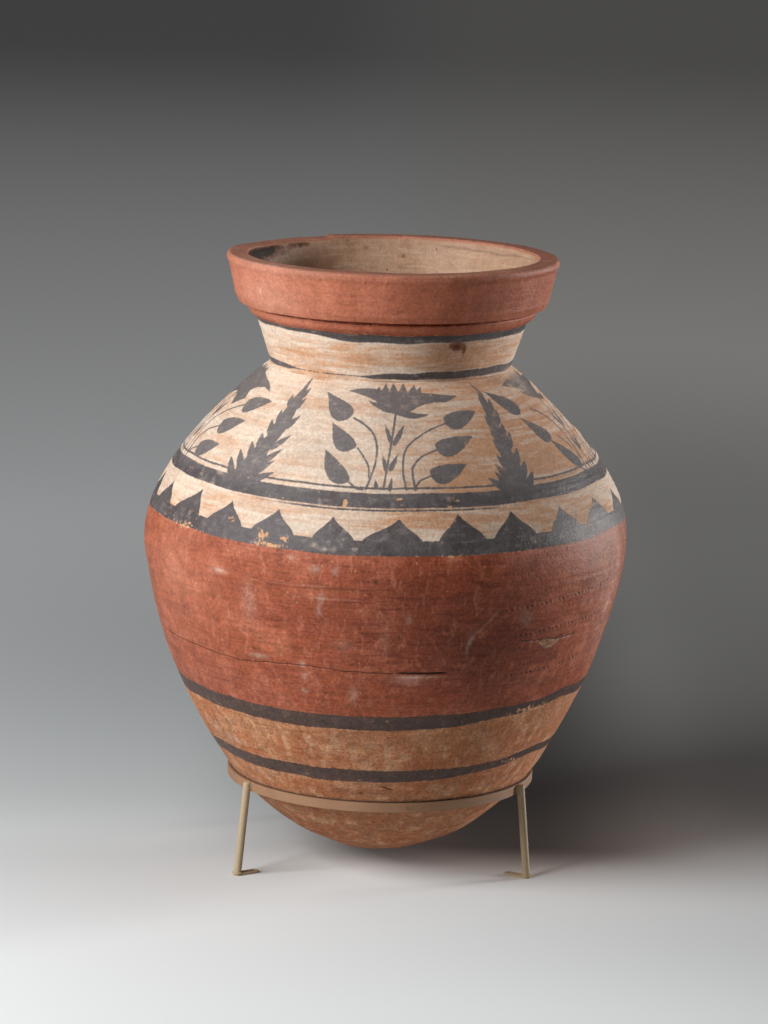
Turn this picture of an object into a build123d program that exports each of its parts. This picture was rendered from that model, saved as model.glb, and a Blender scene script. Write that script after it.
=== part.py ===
from build123d import *
import os
from math import acos, cos, degrees, radians, sin, tan

# Painted storage jar with a rounded-point base, standing in a three-legged ring stand.
# Millimetres. Z runs up from the floor along the jar's axis, and the jar's front faces -Y.
# The jar is made in the sections that its potter luted together, each lapped into the one below.

# Outside of the jar: arcs from the pole upward, each running on from the last, as radius and turn in degrees
tip_radius = 46.0
tip_turn_angle = 8.0
bowl_radius = 284.0
bowl_turn_angle = 50.3
wall_radius = 751.0
wall_turn_angle = 21.7
belly_radius = 131.0
belly_turn_angle = 40.0
shoulder_radius = 524.0
shoulder_turn_angle = 23.2
wall_thickness = 22.0

# Seams between the luted sections
lower_wall_rise = 168.0
belly_rise = 151.0
lap_height = 9.0
lute_gap = 0.3

# Neck, with the moulded ridge that carries the collar
neck_height = 61.0
neck_flare_angle = 18.4
ridge_height = 18.0
ridge_step = 2.0
ridge_proud = 10.0
ridge_bulge = 1.6
groove_height = 3.5
groove_depth = 4.0

# Rim collar
collar_height = 62.5
collar_overhang = 10.0
collar_bevel_width = 4.5
collar_bevel_height = 8.5
collar_lean = 9.5
lip_proud = 2.5
lip_height = 9.0
lip_slope_height = 3.0
rim_width = 25.0
rim_outer_round = 5.0
rim_inner_round = 2.5

# Ring stand: flat-bar hoop with a soft liner, round-rod legs and flat-bar feet
floor_gap = 10.0
seat_rise = 112.0
seat_clearance = 0.3
bar_width = 12.0
bar_thickness = 3.0
bar_edge_round = 0.5
liner_thickness = 2.0
liner_proud = 1.5
rod_diameter = 10.0
rod_end_bevel = 1.0
rod_notch_depth = 1.5
weld_gap = 0.1
leg_splay_angle = 5.9
foot_reach = 25.0
screw_hole_diameter = 4.5
countersink_diameter = 7.5
countersink_angle = 90.0
leg_bearing_angles = {"left": 210.0, "right": 330.0, "rear": 90.0}


# A seam that falls on the end of an arc leaves no arc to draw there
least_turn = 1e-6

# The chain of arcs: centre, radius and the slopes that each arc starts and ends at
profile_arcs = []
arc_start = (0.0, floor_gap)
arc_slope = 0.0
for arc_radius, arc_turn_angle in (
    (tip_radius, tip_turn_angle),
    (bowl_radius, bowl_turn_angle),
    (wall_radius, wall_turn_angle),
    (belly_radius, belly_turn_angle),
    (shoulder_radius, shoulder_turn_angle),
):
    centre = (
        arc_start[0] - arc_radius * sin(radians(arc_slope)),
        arc_start[1] + arc_radius * cos(radians(arc_slope)),
    )
    end_slope = arc_slope + arc_turn_angle
    profile_arcs.append((centre, arc_radius, arc_slope, end_slope))
    arc_start = (
        centre[0] + arc_radius * sin(radians(end_slope)),
        centre[1] - arc_radius * cos(radians(end_slope)),
    )
    arc_slope = end_slope


def arc_point(arc, slope, depth):
    """Point where one arc, moved in by depth, has this slope."""
    (centre_radius, centre_height), radius, _, _ = arc
    return (
        centre_radius + (radius - depth) * sin(radians(slope)),
        centre_height - (radius - depth) * cos(radians(slope)),
    )


def wall_place(height, depth):
    """Arc and slope where the wall, at this depth under its outside, passes a height."""
    for arc in profile_arcs:
        is_last = arc is profile_arcs[-1]
        if is_last or height <= arc_point(arc, arc[3], depth)[1]:
            drop = (arc[0][1] - height) / (arc[1] - depth)
            # At the pole, rounding may carry the share a hair past one
            return arc, degrees(acos(min(1.0, drop)))


def wall_radius_at(height, depth):
    """Radius of the wall at a height, at this depth under its outside."""
    arc, slope = wall_place(height, depth)
    return arc_point(arc, slope, depth)[0]


def wall_curve(low, high, depth):
    """Draws the wall's arcs between two heights, at this depth under its outside."""
    low_arc, low_slope = wall_place(low, depth)
    high_arc, high_slope = wall_place(high, depth)
    first = profile_arcs.index(low_arc)
    last = profile_arcs.index(high_arc)
    for arc in profile_arcs[first : last + 1]:
        start = low_slope if arc is low_arc else arc[2]
        end = high_slope if arc is high_arc else arc[3]
        if end - start > least_turn:
            ThreePointArc(
                arc_point(arc, start, depth),
                arc_point(arc, (start + end) / 2, depth),
                arc_point(arc, end, depth),
            )


def lap_steps(height, outer, middle, inner, gap):
    """Draws one lapped edge across a wall: outer land, step down, inner land."""
    Polyline(
        (outer, height),
        (middle - gap, height),
        (middle - gap, height - lap_height),
        (inner, height - lap_height),
    )


def wall_lap(height, gap):
    """Draws the lapped edge of the jar's wall at a seam."""
    lap_steps(
        height,
        wall_radius_at(height, 0),
        wall_radius_at(height, wall_thickness / 2),
        wall_radius_at(height - lap_height, wall_thickness),
        gap,
    )


# Heights of the seams, from the bowl's edge up to the rim
pole_height = floor_gap
bowl_seam = arc_point(profile_arcs[1], profile_arcs[1][3], 0)[1]
lower_seam = bowl_seam + lower_wall_rise
belly_seam = lower_seam + belly_rise
neck_seam = arc_start[1]
ridge_bottom = neck_seam + neck_height
collar_seam = ridge_bottom + ridge_height
rim_top = collar_seam + collar_height

# Radii of the neck, ridge and collar
neck_root_radius = arc_start[0]
neck_top_radius = neck_root_radius + neck_height * tan(radians(neck_flare_angle))
ridge_radius = neck_top_radius + ridge_step + ridge_proud
groove_radius = ridge_radius - groove_depth
collar_low_radius = ridge_radius + collar_overhang
collar_face_radius = collar_low_radius + collar_bevel_width
collar_high_radius = collar_face_radius + collar_lean
rim_outer_radius = collar_high_radius + lip_proud
rim_inner_radius = rim_outer_radius - rim_width

# The inside of neck and collar is one straight funnel
funnel_bottom = neck_seam - lap_height
funnel_bottom_radius = wall_radius_at(funnel_bottom, wall_thickness)


def funnel_radius(height):
    """Radius of the funnel inside neck and collar at a height."""
    share = (height - funnel_bottom) / (rim_top - funnel_bottom)
    return funnel_bottom_radius + share * (rim_inner_radius - funnel_bottom_radius)


collar_lap_bottom = collar_seam - lap_height
collar_lap_radius = (groove_radius + funnel_radius(collar_seam)) / 2

# Sizes of the stand, taken from where the jar sits in it
hoop_top = floor_gap + seat_rise
hoop_bottom = hoop_top - bar_width
liner_top = hoop_top + liner_proud
hoop_inner_radius = wall_radius_at(hoop_top, 0) + liner_thickness
hoop_outer_radius = hoop_inner_radius + bar_thickness
rod_radius = rod_diameter / 2
leg_top_radius = hoop_outer_radius + rod_radius - rod_notch_depth
foot_top = bar_thickness
leg_foot_radius = leg_top_radius + (hoop_top - foot_top) * tan(radians(leg_splay_angle))
screw_circle_radius = leg_foot_radius - foot_reach

os.makedirs("parts", exist_ok=True)

# Base bowl, closed at the pole
with BuildPart() as base_bowl:
    with BuildSketch(Plane.XZ):
        with BuildLine():
            wall_curve(pole_height, bowl_seam, 0)
            wall_lap(bowl_seam, 0)
            wall_curve(pole_height + wall_thickness, bowl_seam - lap_height, wall_thickness)
            Line((0, pole_height), (0, pole_height + wall_thickness))
        make_face()
    revolve(axis=Axis.Z)


def wall_section(low, high):
    """Ring of the jar's wall between two seams, tongue below and rebate above."""
    with BuildPart() as section:
        with BuildSketch(Plane.XZ):
            with BuildLine():
                wall_curve(low, high, 0)
                wall_lap(high, 0)
                wall_curve(low - lap_height, high - lap_height, wall_thickness)
                wall_lap(low, lute_gap)
            make_face()
        revolve(axis=Axis.Z)
    return section


lower_wall = wall_section(bowl_seam, lower_seam)
belly_wall = wall_section(lower_seam, belly_seam)
shoulder = wall_section(belly_seam, neck_seam)

# Neck, a flaring ring whose ridge and groove carry the collar
with BuildPart() as neck:
    with BuildSketch(Plane.XZ):
        with BuildLine():
            wall_lap(neck_seam, lute_gap)
            Polyline(
                (neck_root_radius, neck_seam),
                (neck_top_radius, ridge_bottom),
                (neck_top_radius + ridge_step, ridge_bottom),
            )
            SagittaArc(
                (neck_top_radius + ridge_step, ridge_bottom),
                (ridge_radius, collar_seam - groove_height),
                -ridge_bulge,
            )
            Polyline(
                (ridge_radius, collar_seam - groove_height),
                (groove_radius, collar_seam - groove_height),
                (groove_radius, collar_seam),
            )
            lap_steps(collar_seam, groove_radius, collar_lap_radius, funnel_radius(collar_lap_bottom), 0)
            Line(
                (funnel_radius(collar_lap_bottom), collar_lap_bottom),
                (funnel_bottom_radius, funnel_bottom),
            )
        make_face()
    revolve(axis=Axis.Z)

# Rim collar, a heavy ring with a bevelled lower edge, a small lip and a flat top
with BuildPart() as rim_collar:
    with BuildSketch(Plane.XZ) as collar_profile:
        with BuildLine():
            lap_steps(
                collar_seam, collar_low_radius, collar_lap_radius, funnel_radius(collar_lap_bottom), lute_gap
            )
            Polyline(
                (collar_low_radius, collar_seam),
                (collar_face_radius, collar_seam + collar_bevel_height),
                (collar_high_radius, rim_top - lip_height - lip_slope_height),
                (rim_outer_radius, rim_top - lip_height),
                (rim_outer_radius, rim_top),
                (rim_inner_radius, rim_top),
                (funnel_radius(collar_lap_bottom), collar_lap_bottom),
            )
        make_face()
        top_corners = collar_profile.vertices().group_by(Axis.Y)[-1].sort_by(Axis.X)
        fillet(top_corners[-1], rim_outer_round)
        top_corners = collar_profile.vertices().group_by(Axis.Y)[-1].sort_by(Axis.X)
        fillet(top_corners[0], rim_inner_round)
    revolve(axis=Axis.Z)

# Hoop of the stand, a flat bar rolled on edge
with BuildPart() as stand_ring:
    with BuildSketch(Plane.XZ) as bar_profile:
        with Locations(((hoop_inner_radius + hoop_outer_radius) / 2, (hoop_bottom + hoop_top) / 2)):
            Rectangle(bar_thickness, bar_width)
        fillet(bar_profile.vertices(), bar_edge_round)
    revolve(axis=Axis.Z)

# Soft liner on the hoop's inside, pressed to the jar's slope along its upper edge
with BuildPart() as ring_liner:
    with BuildSketch(Plane.XZ):
        with Locations((hoop_inner_radius - liner_thickness / 2, (hoop_bottom + liner_top) / 2)):
            Rectangle(liner_thickness, liner_top - hoop_bottom)
        with BuildLine():
            wall_curve(hoop_bottom, liner_top, -seat_clearance)
            Polyline(
                (wall_radius_at(liner_top, -seat_clearance), liner_top),
                (0, liner_top),
                (0, hoop_bottom),
                (wall_radius_at(hoop_bottom, -seat_clearance), hoop_bottom),
            )
        make_face(mode=Mode.SUBTRACT)
    revolve(axis=Axis.Z)


def stand_leg(bearing):
    """Splayed rod leg, notched at its top for the hoop and cut level on its foot."""
    outward = Vector(cos(radians(bearing)), sin(radians(bearing)), 0)
    foot_point = outward * leg_foot_radius + Vector(0, 0, foot_top)
    top_point = outward * leg_top_radius + Vector(0, 0, hoop_top)
    with BuildPart() as leg:
        with BuildSketch(Plane(origin=foot_point, z_dir=top_point - foot_point)):
            Circle(rod_radius)
        extrude(amount=hoop_top, both=True)
        split(bisect_by=Plane.XY.offset(foot_top), keep=Keep.TOP)
        split(bisect_by=Plane.XY.offset(hoop_top), keep=Keep.BOTTOM)
        chamfer(leg.faces().sort_by(Axis.Z)[-1].edges(), rod_end_bevel)
        with BuildSketch(Plane.XY.offset(hoop_bottom)):
            Circle(hoop_outer_radius + weld_gap)
        extrude(amount=bar_width, mode=Mode.SUBTRACT)
    return leg


def stand_foot(bearing):
    """Round-ended flat foot, from under its leg inward to its screw hole."""
    outward = Vector(cos(radians(bearing)), sin(radians(bearing)), 0)
    middle = outward * (leg_foot_radius - foot_reach / 2)
    with BuildPart() as foot:
        with BuildSketch(Plane(origin=middle, x_dir=outward, z_dir=(0, 0, 1))):
            SlotCenterToCenter(foot_reach, bar_width)
        extrude(amount=bar_thickness)
        fillet(foot.edges().group_by(Axis.Z)[-1], bar_edge_round)
        with Locations(outward * screw_circle_radius + Vector(0, 0, foot_top)):
            CounterSinkHole(
                screw_hole_diameter / 2, countersink_diameter / 2, counter_sink_angle=countersink_angle
            )
    return foot


pieces = {
    "base_bowl": base_bowl,
    "lower_wall": lower_wall,
    "belly_wall": belly_wall,
    "shoulder": shoulder,
    "neck": neck,
    "rim_collar": rim_collar,
    "stand_ring": stand_ring,
    "ring_liner": ring_liner,
}
for side, bearing in leg_bearing_angles.items():
    pieces[f"leg_{side}"] = stand_leg(bearing)
    pieces[f"foot_{side}"] = stand_foot(bearing)

for piece_name, piece in pieces.items():
    piece.part.label = piece_name
    export_step(piece.part, f"parts/{piece_name}.step")

print(f"jar height {rim_top - floor_gap:.1f}, total {rim_top:.1f}, rim diameter {2 * rim_outer_radius:.1f}")
print(f"screw circle diameter {2 * screw_circle_radius:.3f}, hoop inside diameter {2 * hoop_inner_radius:.1f}")
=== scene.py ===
"""A painted storage jar in a three-legged ring stand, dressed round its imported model.

The jar's sizes are in millimetres and become metres when a mesh is made. A bearing is in degrees
round the jar's axis from the side that the camera faces, which is FRONT degrees round from -Y, and
grows towards +X. A drop is the distance in millimetres down the outside of the wall from the root
of the neck.
"""
import logging
from dataclasses import dataclass, field
from enum import Enum
from itertools import zip_longest
from math import cos, hypot, pi, radians, sin, sqrt, tan
from typing import Optional, Sequence, Union

import bpy
import numpy as np
from mathutils import Matrix, Vector


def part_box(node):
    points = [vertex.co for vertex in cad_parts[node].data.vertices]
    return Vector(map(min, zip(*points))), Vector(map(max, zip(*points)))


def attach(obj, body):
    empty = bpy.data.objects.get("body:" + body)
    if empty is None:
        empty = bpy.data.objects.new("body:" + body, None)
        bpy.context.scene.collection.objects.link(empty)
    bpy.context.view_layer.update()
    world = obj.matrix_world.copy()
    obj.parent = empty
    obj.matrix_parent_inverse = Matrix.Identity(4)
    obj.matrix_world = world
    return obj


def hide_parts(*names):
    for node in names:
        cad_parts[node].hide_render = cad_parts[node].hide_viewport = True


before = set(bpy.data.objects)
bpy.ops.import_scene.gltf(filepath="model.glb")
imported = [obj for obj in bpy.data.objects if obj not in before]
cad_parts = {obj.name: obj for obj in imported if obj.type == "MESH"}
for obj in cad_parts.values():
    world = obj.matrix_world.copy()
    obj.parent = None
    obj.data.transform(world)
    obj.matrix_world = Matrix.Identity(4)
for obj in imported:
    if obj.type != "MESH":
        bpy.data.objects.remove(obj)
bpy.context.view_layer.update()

LOG = logging.getLogger("painted_jar")
Array = np.ndarray
Colour = tuple[float, float, float, float]
Socket = bpy.types.NodeSocket
Operand = Union["Value", float]
Place = tuple[float, float]
MM = 0.001
FAR = 14.0
FRONT = -3.4
THROWN = ("neck", "rim_collar")


def screen(red: int, green: int, blue: int) -> Colour:
    """Gives the linear colour of an 8-bit screen colour.

    Args:
        red, green, blue: the screen colour's shares, 0 to 255.

    Returns:
        The linear colour with an alpha of 1.
    """
    shares = np.array((red, green, blue)) / 255.0
    linear = np.where(shares <= 0.04045, shares / 12.92, ((shares + 0.055) / 1.055) ** 2.4)
    return (float(linear[0]), float(linear[1]), float(linear[2]), 1.0)


def turned(bearing: Array) -> Array:
    """Brings bearings into the half-open turn from -180 to 180 degrees."""
    return (np.asarray(bearing, float) + 180.0) % 360.0 - 180.0


def eased(low: float, high: float, at: Array) -> Array:
    """Rises smoothly from 0 at low to 1 at high, or falls where low is the greater."""
    share = np.clip((np.asarray(at, float) - low) / (high - low), 0.0, 1.0)
    return share * share * (3.0 - 2.0 * share)


def corner_box(node: str) -> tuple[Vector, Vector]:
    """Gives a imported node's lowest and highest corners in millimetres."""
    low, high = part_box(node)
    return low / MM, high / MM


class Value:
    """A number socket of a node tree, whose arithmetic adds Math nodes."""

    def __init__(self, nodes: "Nodes", socket: Socket) -> None:
        """Keeps the socket and the maker of its tree's nodes."""
        self.nodes = nodes
        self.socket = socket

    def __add__(self, other: Operand) -> "Value":
        """self + other."""
        return self.nodes.math("ADD", self, other)

    def __radd__(self, other: Operand) -> "Value":
        """other + self."""
        return self.nodes.math("ADD", other, self)

    def __sub__(self, other: Operand) -> "Value":
        """self - other."""
        return self.nodes.math("SUBTRACT", self, other)

    def __rsub__(self, other: Operand) -> "Value":
        """other - self."""
        return self.nodes.math("SUBTRACT", other, self)

    def __mul__(self, other: Operand) -> "Value":
        """self * other."""
        return self.nodes.math("MULTIPLY", self, other)

    def __rmul__(self, other: Operand) -> "Value":
        """other * self."""
        return self.nodes.math("MULTIPLY", other, self)

    def most(self, other: Operand) -> "Value":
        """The greater of self and other."""
        return self.nodes.math("MAXIMUM", self, other)

    def least(self, other: Operand) -> "Value":
        """The lesser of self and other."""
        return self.nodes.math("MINIMUM", self, other)

    def clamped(self) -> "Value":
        """Self kept within 0 to 1."""
        return self.most(0.0).least(1.0)

    def ramp(self, low: float, high: float) -> "Value":
        """Rises smoothly from 0 at low to 1 at high, or falls where low is the greater."""
        limits = {"Value": self, "From Min": low, "From Max": high}
        node = self.nodes.make("ShaderNodeMapRange", {"interpolation_type": "SMOOTHSTEP"}, limits)
        return Value(self.nodes, node.outputs[0])


class Nodes:
    """Makes the nodes of one tree."""

    def __init__(self, tree: bpy.types.NodeTree) -> None:
        """Starts from an empty tree."""
        self.tree = tree
        tree.nodes.clear()

    def make(self, kind: str, settings: Optional[dict] = None, inputs: Optional[dict] = None) -> bpy.types.Node:
        """Adds a node.

        Args:
            kind: the node's type.
            settings: its own properties, set first.
            inputs: values or links for its sockets, by name or number.

        Returns:
            The new node.
        """
        node = self.tree.nodes.new(kind)
        for name, setting in (settings or {}).items():
            setattr(node, name, setting)
        for key, given in (inputs or {}).items():
            given = given.socket if isinstance(given, Value) else given
            if isinstance(given, bpy.types.NodeSocket):
                self.tree.links.new(given, node.inputs[key])
            else:
                node.inputs[key].default_value = given
        return node

    def math(self, operation: str, first: Operand, second: Operand) -> Value:
        """Adds one Math node on two numbers."""
        return Value(self, self.make("ShaderNodeMath", {"operation": operation}, {0: first, 1: second}).outputs[0])

    def place(self) -> Socket:
        """Gives the point's place in the piece's own metres."""
        return self.make("ShaderNodeTexCoord").outputs["Object"]

    def stored(self, name: str) -> Socket:
        """Gives a vector that is kept with the mesh's points."""
        return self.make("ShaderNodeAttribute", {"attribute_name": name}).outputs["Vector"]

    def parts(self, vector: Socket) -> tuple[Value, Value, Value]:
        """Splits a vector into its three numbers."""
        node = self.make("ShaderNodeSeparateXYZ", None, {0: vector})
        return Value(self, node.outputs[0]), Value(self, node.outputs[1]), Value(self, node.outputs[2])

    def stretched(self, vector: Socket, factors: tuple[float, float, float]) -> Socket:
        """Scales a vector by a factor for each axis."""
        return self.make("ShaderNodeVectorMath", {"operation": "MULTIPLY"}, {0: vector, 1: factors}).outputs[0]

    def noise(self, vector: Socket, scale: float, detail: float = 2.0, rough: float = 0.5,
              swirl: float = 0.0) -> Value:
        """Adds a cloudy noise.

        Args:
            vector: where it is read.
            scale: its features to a metre of the vector.
            detail: how many finer octaves it has.
            rough: how strong the finer octaves are.
            swirl: how far it is drawn out of shape.

        Returns:
            The noise, about 0.5 on average.
        """
        inputs = {"Vector": vector, "Scale": scale, "Detail": detail, "Roughness": rough, "Distortion": swirl}
        return Value(self, self.make("ShaderNodeTexNoise", None, inputs).outputs[0])

    def cells(self, vector: Socket, scale: float) -> Value:
        """Gives the distance to the nearest of scattered points."""
        node = self.make("ShaderNodeTexVoronoi", None, {"Vector": vector, "Scale": scale})
        return Value(self, node.outputs["Distance"])

    def mix(self, share: Operand, first: Union[Socket, Colour], second: Union[Socket, Colour]) -> Socket:
        """Goes from the first colour at a share of 0 to the second at 1."""
        return self.make("ShaderNodeMix", {"data_type": "RGBA"}, {0: share, 6: first, 7: second}).outputs[2]

    def layered(self, base: Union[Socket, Colour], *layers: tuple[Operand, Union[Socket, Colour]]) -> Socket:
        """Lays colours over a base in turn, each by its share."""
        for share, colour in layers:
            base = self.mix(share, base, colour)
        return base

    def shaded(self, colour: Union[Socket, Colour], level: Value) -> Socket:
        """Multiplies a colour by a grey level."""
        settings = {"data_type": "RGBA", "blend_type": "MULTIPLY"}
        return self.make("ShaderNodeMix", settings, {0: 1.0, 6: colour, 7: level}).outputs[2]

    def surface(self, colour: Socket, rough: Value, height: Value, relief: float,
                plain: Optional[dict] = None) -> None:
        """Adds the shader and the output.

        Args:
            colour: the base colour.
            rough: the roughness.
            height: the fine relief, as a share of its depth.
            relief: that depth in metres.
            plain: other sockets of the shader, by name.
        """
        bump = self.make("ShaderNodeBump", None, {"Strength": 1.0, "Distance": relief, "Height": height})
        inputs = {"Base Color": colour, "Roughness": rough, "Normal": bump.outputs[0], **(plain or {})}
        shader = self.make("ShaderNodeBsdfPrincipled", None, inputs)
        self.make("ShaderNodeOutputMaterial", None, {"Surface": shader.outputs[0]})


def new_material(name: str) -> tuple[bpy.types.Material, Nodes]:
    """Makes an empty material and the maker of its nodes."""
    material = bpy.data.materials.new(name)
    material.use_nodes = True
    return material, Nodes(material.node_tree)


@dataclass(frozen=True)
class Coat:
    """One coat of clay: its usual colour, where it is thin, where it is thick, and its roughness."""

    usual: Colour
    thin: Colour
    thick: Colour
    rough: float


@dataclass
class ClayTextures:
    """The textures that the jar's coats share, each about 0.5 on average."""

    nodes: Nodes

    def __post_init__(self) -> None:
        """Adds the textures, from a hand's breadth down to a grain of sand."""
        nodes = self.nodes
        place, wheel = nodes.place(), nodes.stored("wheel")
        self.place = place
        self.broad = nodes.noise(place, 5.0, 3.0)
        self.patch = nodes.noise(place, 21.0, 5.0, 0.6)
        self.mottle = nodes.noise(place, 74.0, 5.0, 0.65)
        self.edge = nodes.noise(place, 260.0, 3.0)
        self.grain = nodes.noise(place, 640.0, 3.0, 0.6)
        self.stroke = nodes.noise(nodes.stretched(wheel, (7.0, 7.0, 46.0)), 1.0, 5.0, 0.6, 0.7)
        self.fibre = nodes.noise(nodes.stretched(wheel, (22.0, 22.0, 210.0)), 1.0, 4.0, 0.6, 0.3)
        self.line = nodes.noise(nodes.stretched(wheel, (9.0, 9.0, 720.0)), 1.0, 2.0)
        self.drip = nodes.noise(nodes.stretched(wheel, (62.0, 62.0, 8.0)), 1.0, 4.0, 0.6, 0.3)
        self.smudge = nodes.noise(nodes.stretched(wheel, (110.0, 110.0, 45.0)), 1.0, 3.0, 0.6)

    def blend(self, **weights: float) -> Value:
        """Adds named textures up by their weights, so that the sum is about 0 on average."""
        return sum((getattr(self, name) - 0.5) * weight for name, weight in weights.items())


@dataclass(frozen=True)
class JarFinish:
    """The jar's layers: bare clay, cream and red slip, black paint, then chips, stains and blackening that also paint
    shade on the inner left wall, grime and painted shade in the cracks and pits, and dust that also paints sheen and
    highlights.
    """

    clay: Coat = Coat(screen(195, 136, 99), screen(217, 174, 138), screen(172, 104, 68), 0.86)
    cream: Coat = Coat(screen(227, 208, 189), screen(208, 160, 126), screen(178, 132, 105), 0.74)
    red: Coat = Coat(screen(165, 87, 60), screen(202, 129, 102), screen(114, 54, 40), 0.5)
    black: Coat = Coat(screen(99, 92, 93), screen(135, 129, 127), screen(54, 48, 48), 0.5)
    inner: Coat = Coat(screen(184, 148, 122), screen(204, 174, 148), screen(146, 104, 76), 0.88)
    chalk: Colour = screen(240, 224, 206)
    umber: Colour = screen(84, 60, 50)
    bare: Colour = screen(212, 164, 126)
    # Dark colour of the cracks, cord notches and pits: grime and painted shade.
    dirt_and_shade: Colour = screen(44, 30, 23)
    # Soot colour, which on the inner left wall also paints the shade there.
    soot_and_shade: Colour = screen(42, 26, 18)
    scorch: Colour = screen(84, 39, 30)
    stain: Colour = screen(124, 74, 46)
    # Dust colour, also painted sheen and highlights where dust patches and cord ridges stand in for them.
    dust: Colour = screen(216, 198, 182)
    gloss: float = 0.24
    relief: float = 0.0011
    slip_blur: float = 0.9
    paint_blur: float = 0.8
    cream_wander: float = 6.0
    red_wander: float = 7.0
    paint_wander: float = 1.8
    low_wander: float = 1.2
    upper_shoulder: tuple[float, float] = (-60.0, -110.0)
    lower_jar: tuple[float, float] = (60.0, 140.0)
    chip_edge: tuple[float, float] = (0.42, 0.6)
    speck_share: float = 0.4
    pit_share: float = 0.7
    stain_share: float = 0.85
    soot_and_shade_share: float = 0.95
    smear_and_sheen_share: float = 0.5
    haze_and_sheen_share: float = 0.3
    level: float = 0.97

    def material(self) -> bpy.types.Material:
        """Makes the finish that all six sections of the jar share.

        Returns:
            The material.
        """
        material, nodes = new_material("jar_finish")
        tex = ClayTextures(nodes)
        black_mm, red_mm, cream_mm = nodes.parts(nodes.stored("cover"))
        crevice, chipped, stained_and_shaded = nodes.parts(nodes.stored("marks"))
        dust_and_sheen, inside, thin = nodes.parts(nodes.stored("patina"))
        ragged = tex.blend(edge=0.7, mottle=0.5)
        cream_on = (cream_mm + ragged * self.cream_wander).ramp(self.slip_blur, -self.slip_blur)
        red_on = (red_mm + ragged * self.red_wander).ramp(self.slip_blur, -self.slip_blur)
        wander = self.paint_wander + cream_mm.ramp(*self.lower_jar) * self.low_wander
        black_on = (black_mm + ragged * wander).ramp(self.paint_blur, -self.paint_blur)

        worn = (chipped + ragged * 1.3 + tex.blend(patch=0.5)).ramp(*self.chip_edge)
        rubbed = tex.blend(mottle=0.6, fibre=0.4, patch=0.4).ramp(0.06, 0.22) * 0.35
        speck = nodes.cells(tex.place, 110.0).ramp(0.15, 0.07) * tex.patch.ramp(0.44, 0.6)
        speck = speck.most(nodes.cells(tex.place, 45.0).ramp(0.085, 0.05)) * red_on.most(black_on * 1.1)
        pit = nodes.cells(tex.place, 57.0).ramp(0.085, 0.045) * tex.mottle.ramp(0.4, 0.55)
        pit = pit * (1.0 - cream_on * 0.65)

        # Stains and soot; on the inner left wall they also paint the shade there.
        soaked = stained_and_shaded * (0.4 + tex.mottle * 1.2) + tex.blend(mottle=1.0) * stained_and_shaded.ramp(0.0, 0.4)
        soot_and_shade_mask = (stained_and_shaded + tex.blend(mottle=1.4, edge=0.6)).ramp(0.8, 1.4)
        # Dust, pale scratches and cord ridges, partly painted sheen and highlights.
        smear_and_sheen = (dust_and_sheen + tex.blend(drip=0.6, patch=0.9, mottle=0.9, edge=0.5)).ramp(0.4, 1.1)
        haze_and_sheen = (smear_and_sheen * self.smear_and_sheen_share).most(dust_and_sheen.ramp(0.05, 1.0) * self.haze_and_sheen_share)
        colour = nodes.layered(
            self._clay(nodes, tex),
            (cream_on, self._cream(nodes, tex, thin)),
            (red_on, self._red(nodes, tex, thin)),
            (black_on * (1.0 - rubbed), self._black(nodes, tex, cream_mm, thin)),
            (worn.most(speck * self.speck_share), self.bare),
            (inside, self._inner(nodes, tex)),
            (soaked.ramp(0.3, 0.8) * self.stain_share, self.stain),
            (soot_and_shade_mask * self.soot_and_shade_share, self.soot_and_shade),
            (haze_and_sheen * (1.0 - inside), self.dust))
        change = tex.blend(mottle=0.55, edge=0.65, grain=0.5, patch=0.3, broad=0.2)
        fired = 1.0 + (1.0 - cream_on) * (1.0 - (thin * 1.4).clamped()) * 0.8
        colour = nodes.shaded(colour, self.level + change * fired * (1.0 - inside * 0.55))
        # Cracks, cord notches and pits darken towards the dark colour: grime and painted shade.
        colour = nodes.mix(crevice.most(pit * self.pit_share), colour, self.dirt_and_shade)

        rough = self.clay.rough + cream_on * (self.cream.rough - self.clay.rough)
        rough = rough + red_on * (self.red.rough + thin.most(0.0) * 0.15 - rough)
        rough = rough + black_on * (self.black.rough - rough)
        rough = rough + tex.blend(grain=0.14, mottle=0.25) + (smear_and_sheen + worn + crevice + soot_and_shade_mask) * 0.2
        height = tex.fibre * 0.36 + tex.line * 0.08 + tex.grain * 0.32 + tex.edge * 0.45 + tex.mottle * 0.45
        height = height + black_on * 0.08 - worn * 0.25 - pit * 0.5
        nodes.surface(colour, rough, height, self.relief, {"Specular IOR Level": self.gloss})
        return material

    def _clay(self, nodes: Nodes, tex: ClayTextures) -> Socket:
        """Gives the bare clay, wiped round and streaked where water ran down."""
        return nodes.layered(
            self.clay.usual,
            (tex.patch.ramp(0.42, 0.62) * 0.7, self.clay.thick),
            (tex.drip.ramp(0.5, 0.64) * 0.6 + tex.mottle.ramp(0.52, 0.66) * 0.2, self.clay.thin),
            (tex.stroke.ramp(0.5, 0.66) * 0.45, self.clay.thick),
            (tex.line.ramp(0.54, 0.64) * 0.3, self.clay.thick),
            (tex.fibre.ramp(0.52, 0.62) * 0.45, self.cream.thick))

    def _cream(self, nodes: Nodes, tex: ClayTextures, thin: Value) -> Socket:
        """Gives the cream slip, brushed round in soft streaks so that the clay shows where it is thin."""
        fibre, scant = tex.fibre.ramp(0.46, 0.62), thin.most(0.0)
        share = tex.stroke.ramp(0.47, 0.64) * 0.45 + fibre * 0.26
        share = share + scant * (0.15 + tex.stroke.ramp(0.3, 0.55) * 0.7 + fibre * 0.5)
        return nodes.layered(
            self.cream.usual,
            (share.least(1.0), self.cream.thin),
            (tex.fibre.ramp(0.45, 0.33) * 0.4 * (1.0 - scant.least(1.0) * 0.7), self.chalk),
            (tex.mottle.ramp(0.54, 0.74) * 0.25 + tex.line.ramp(0.56, 0.72) * 0.1, self.cream.thick))

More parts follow.
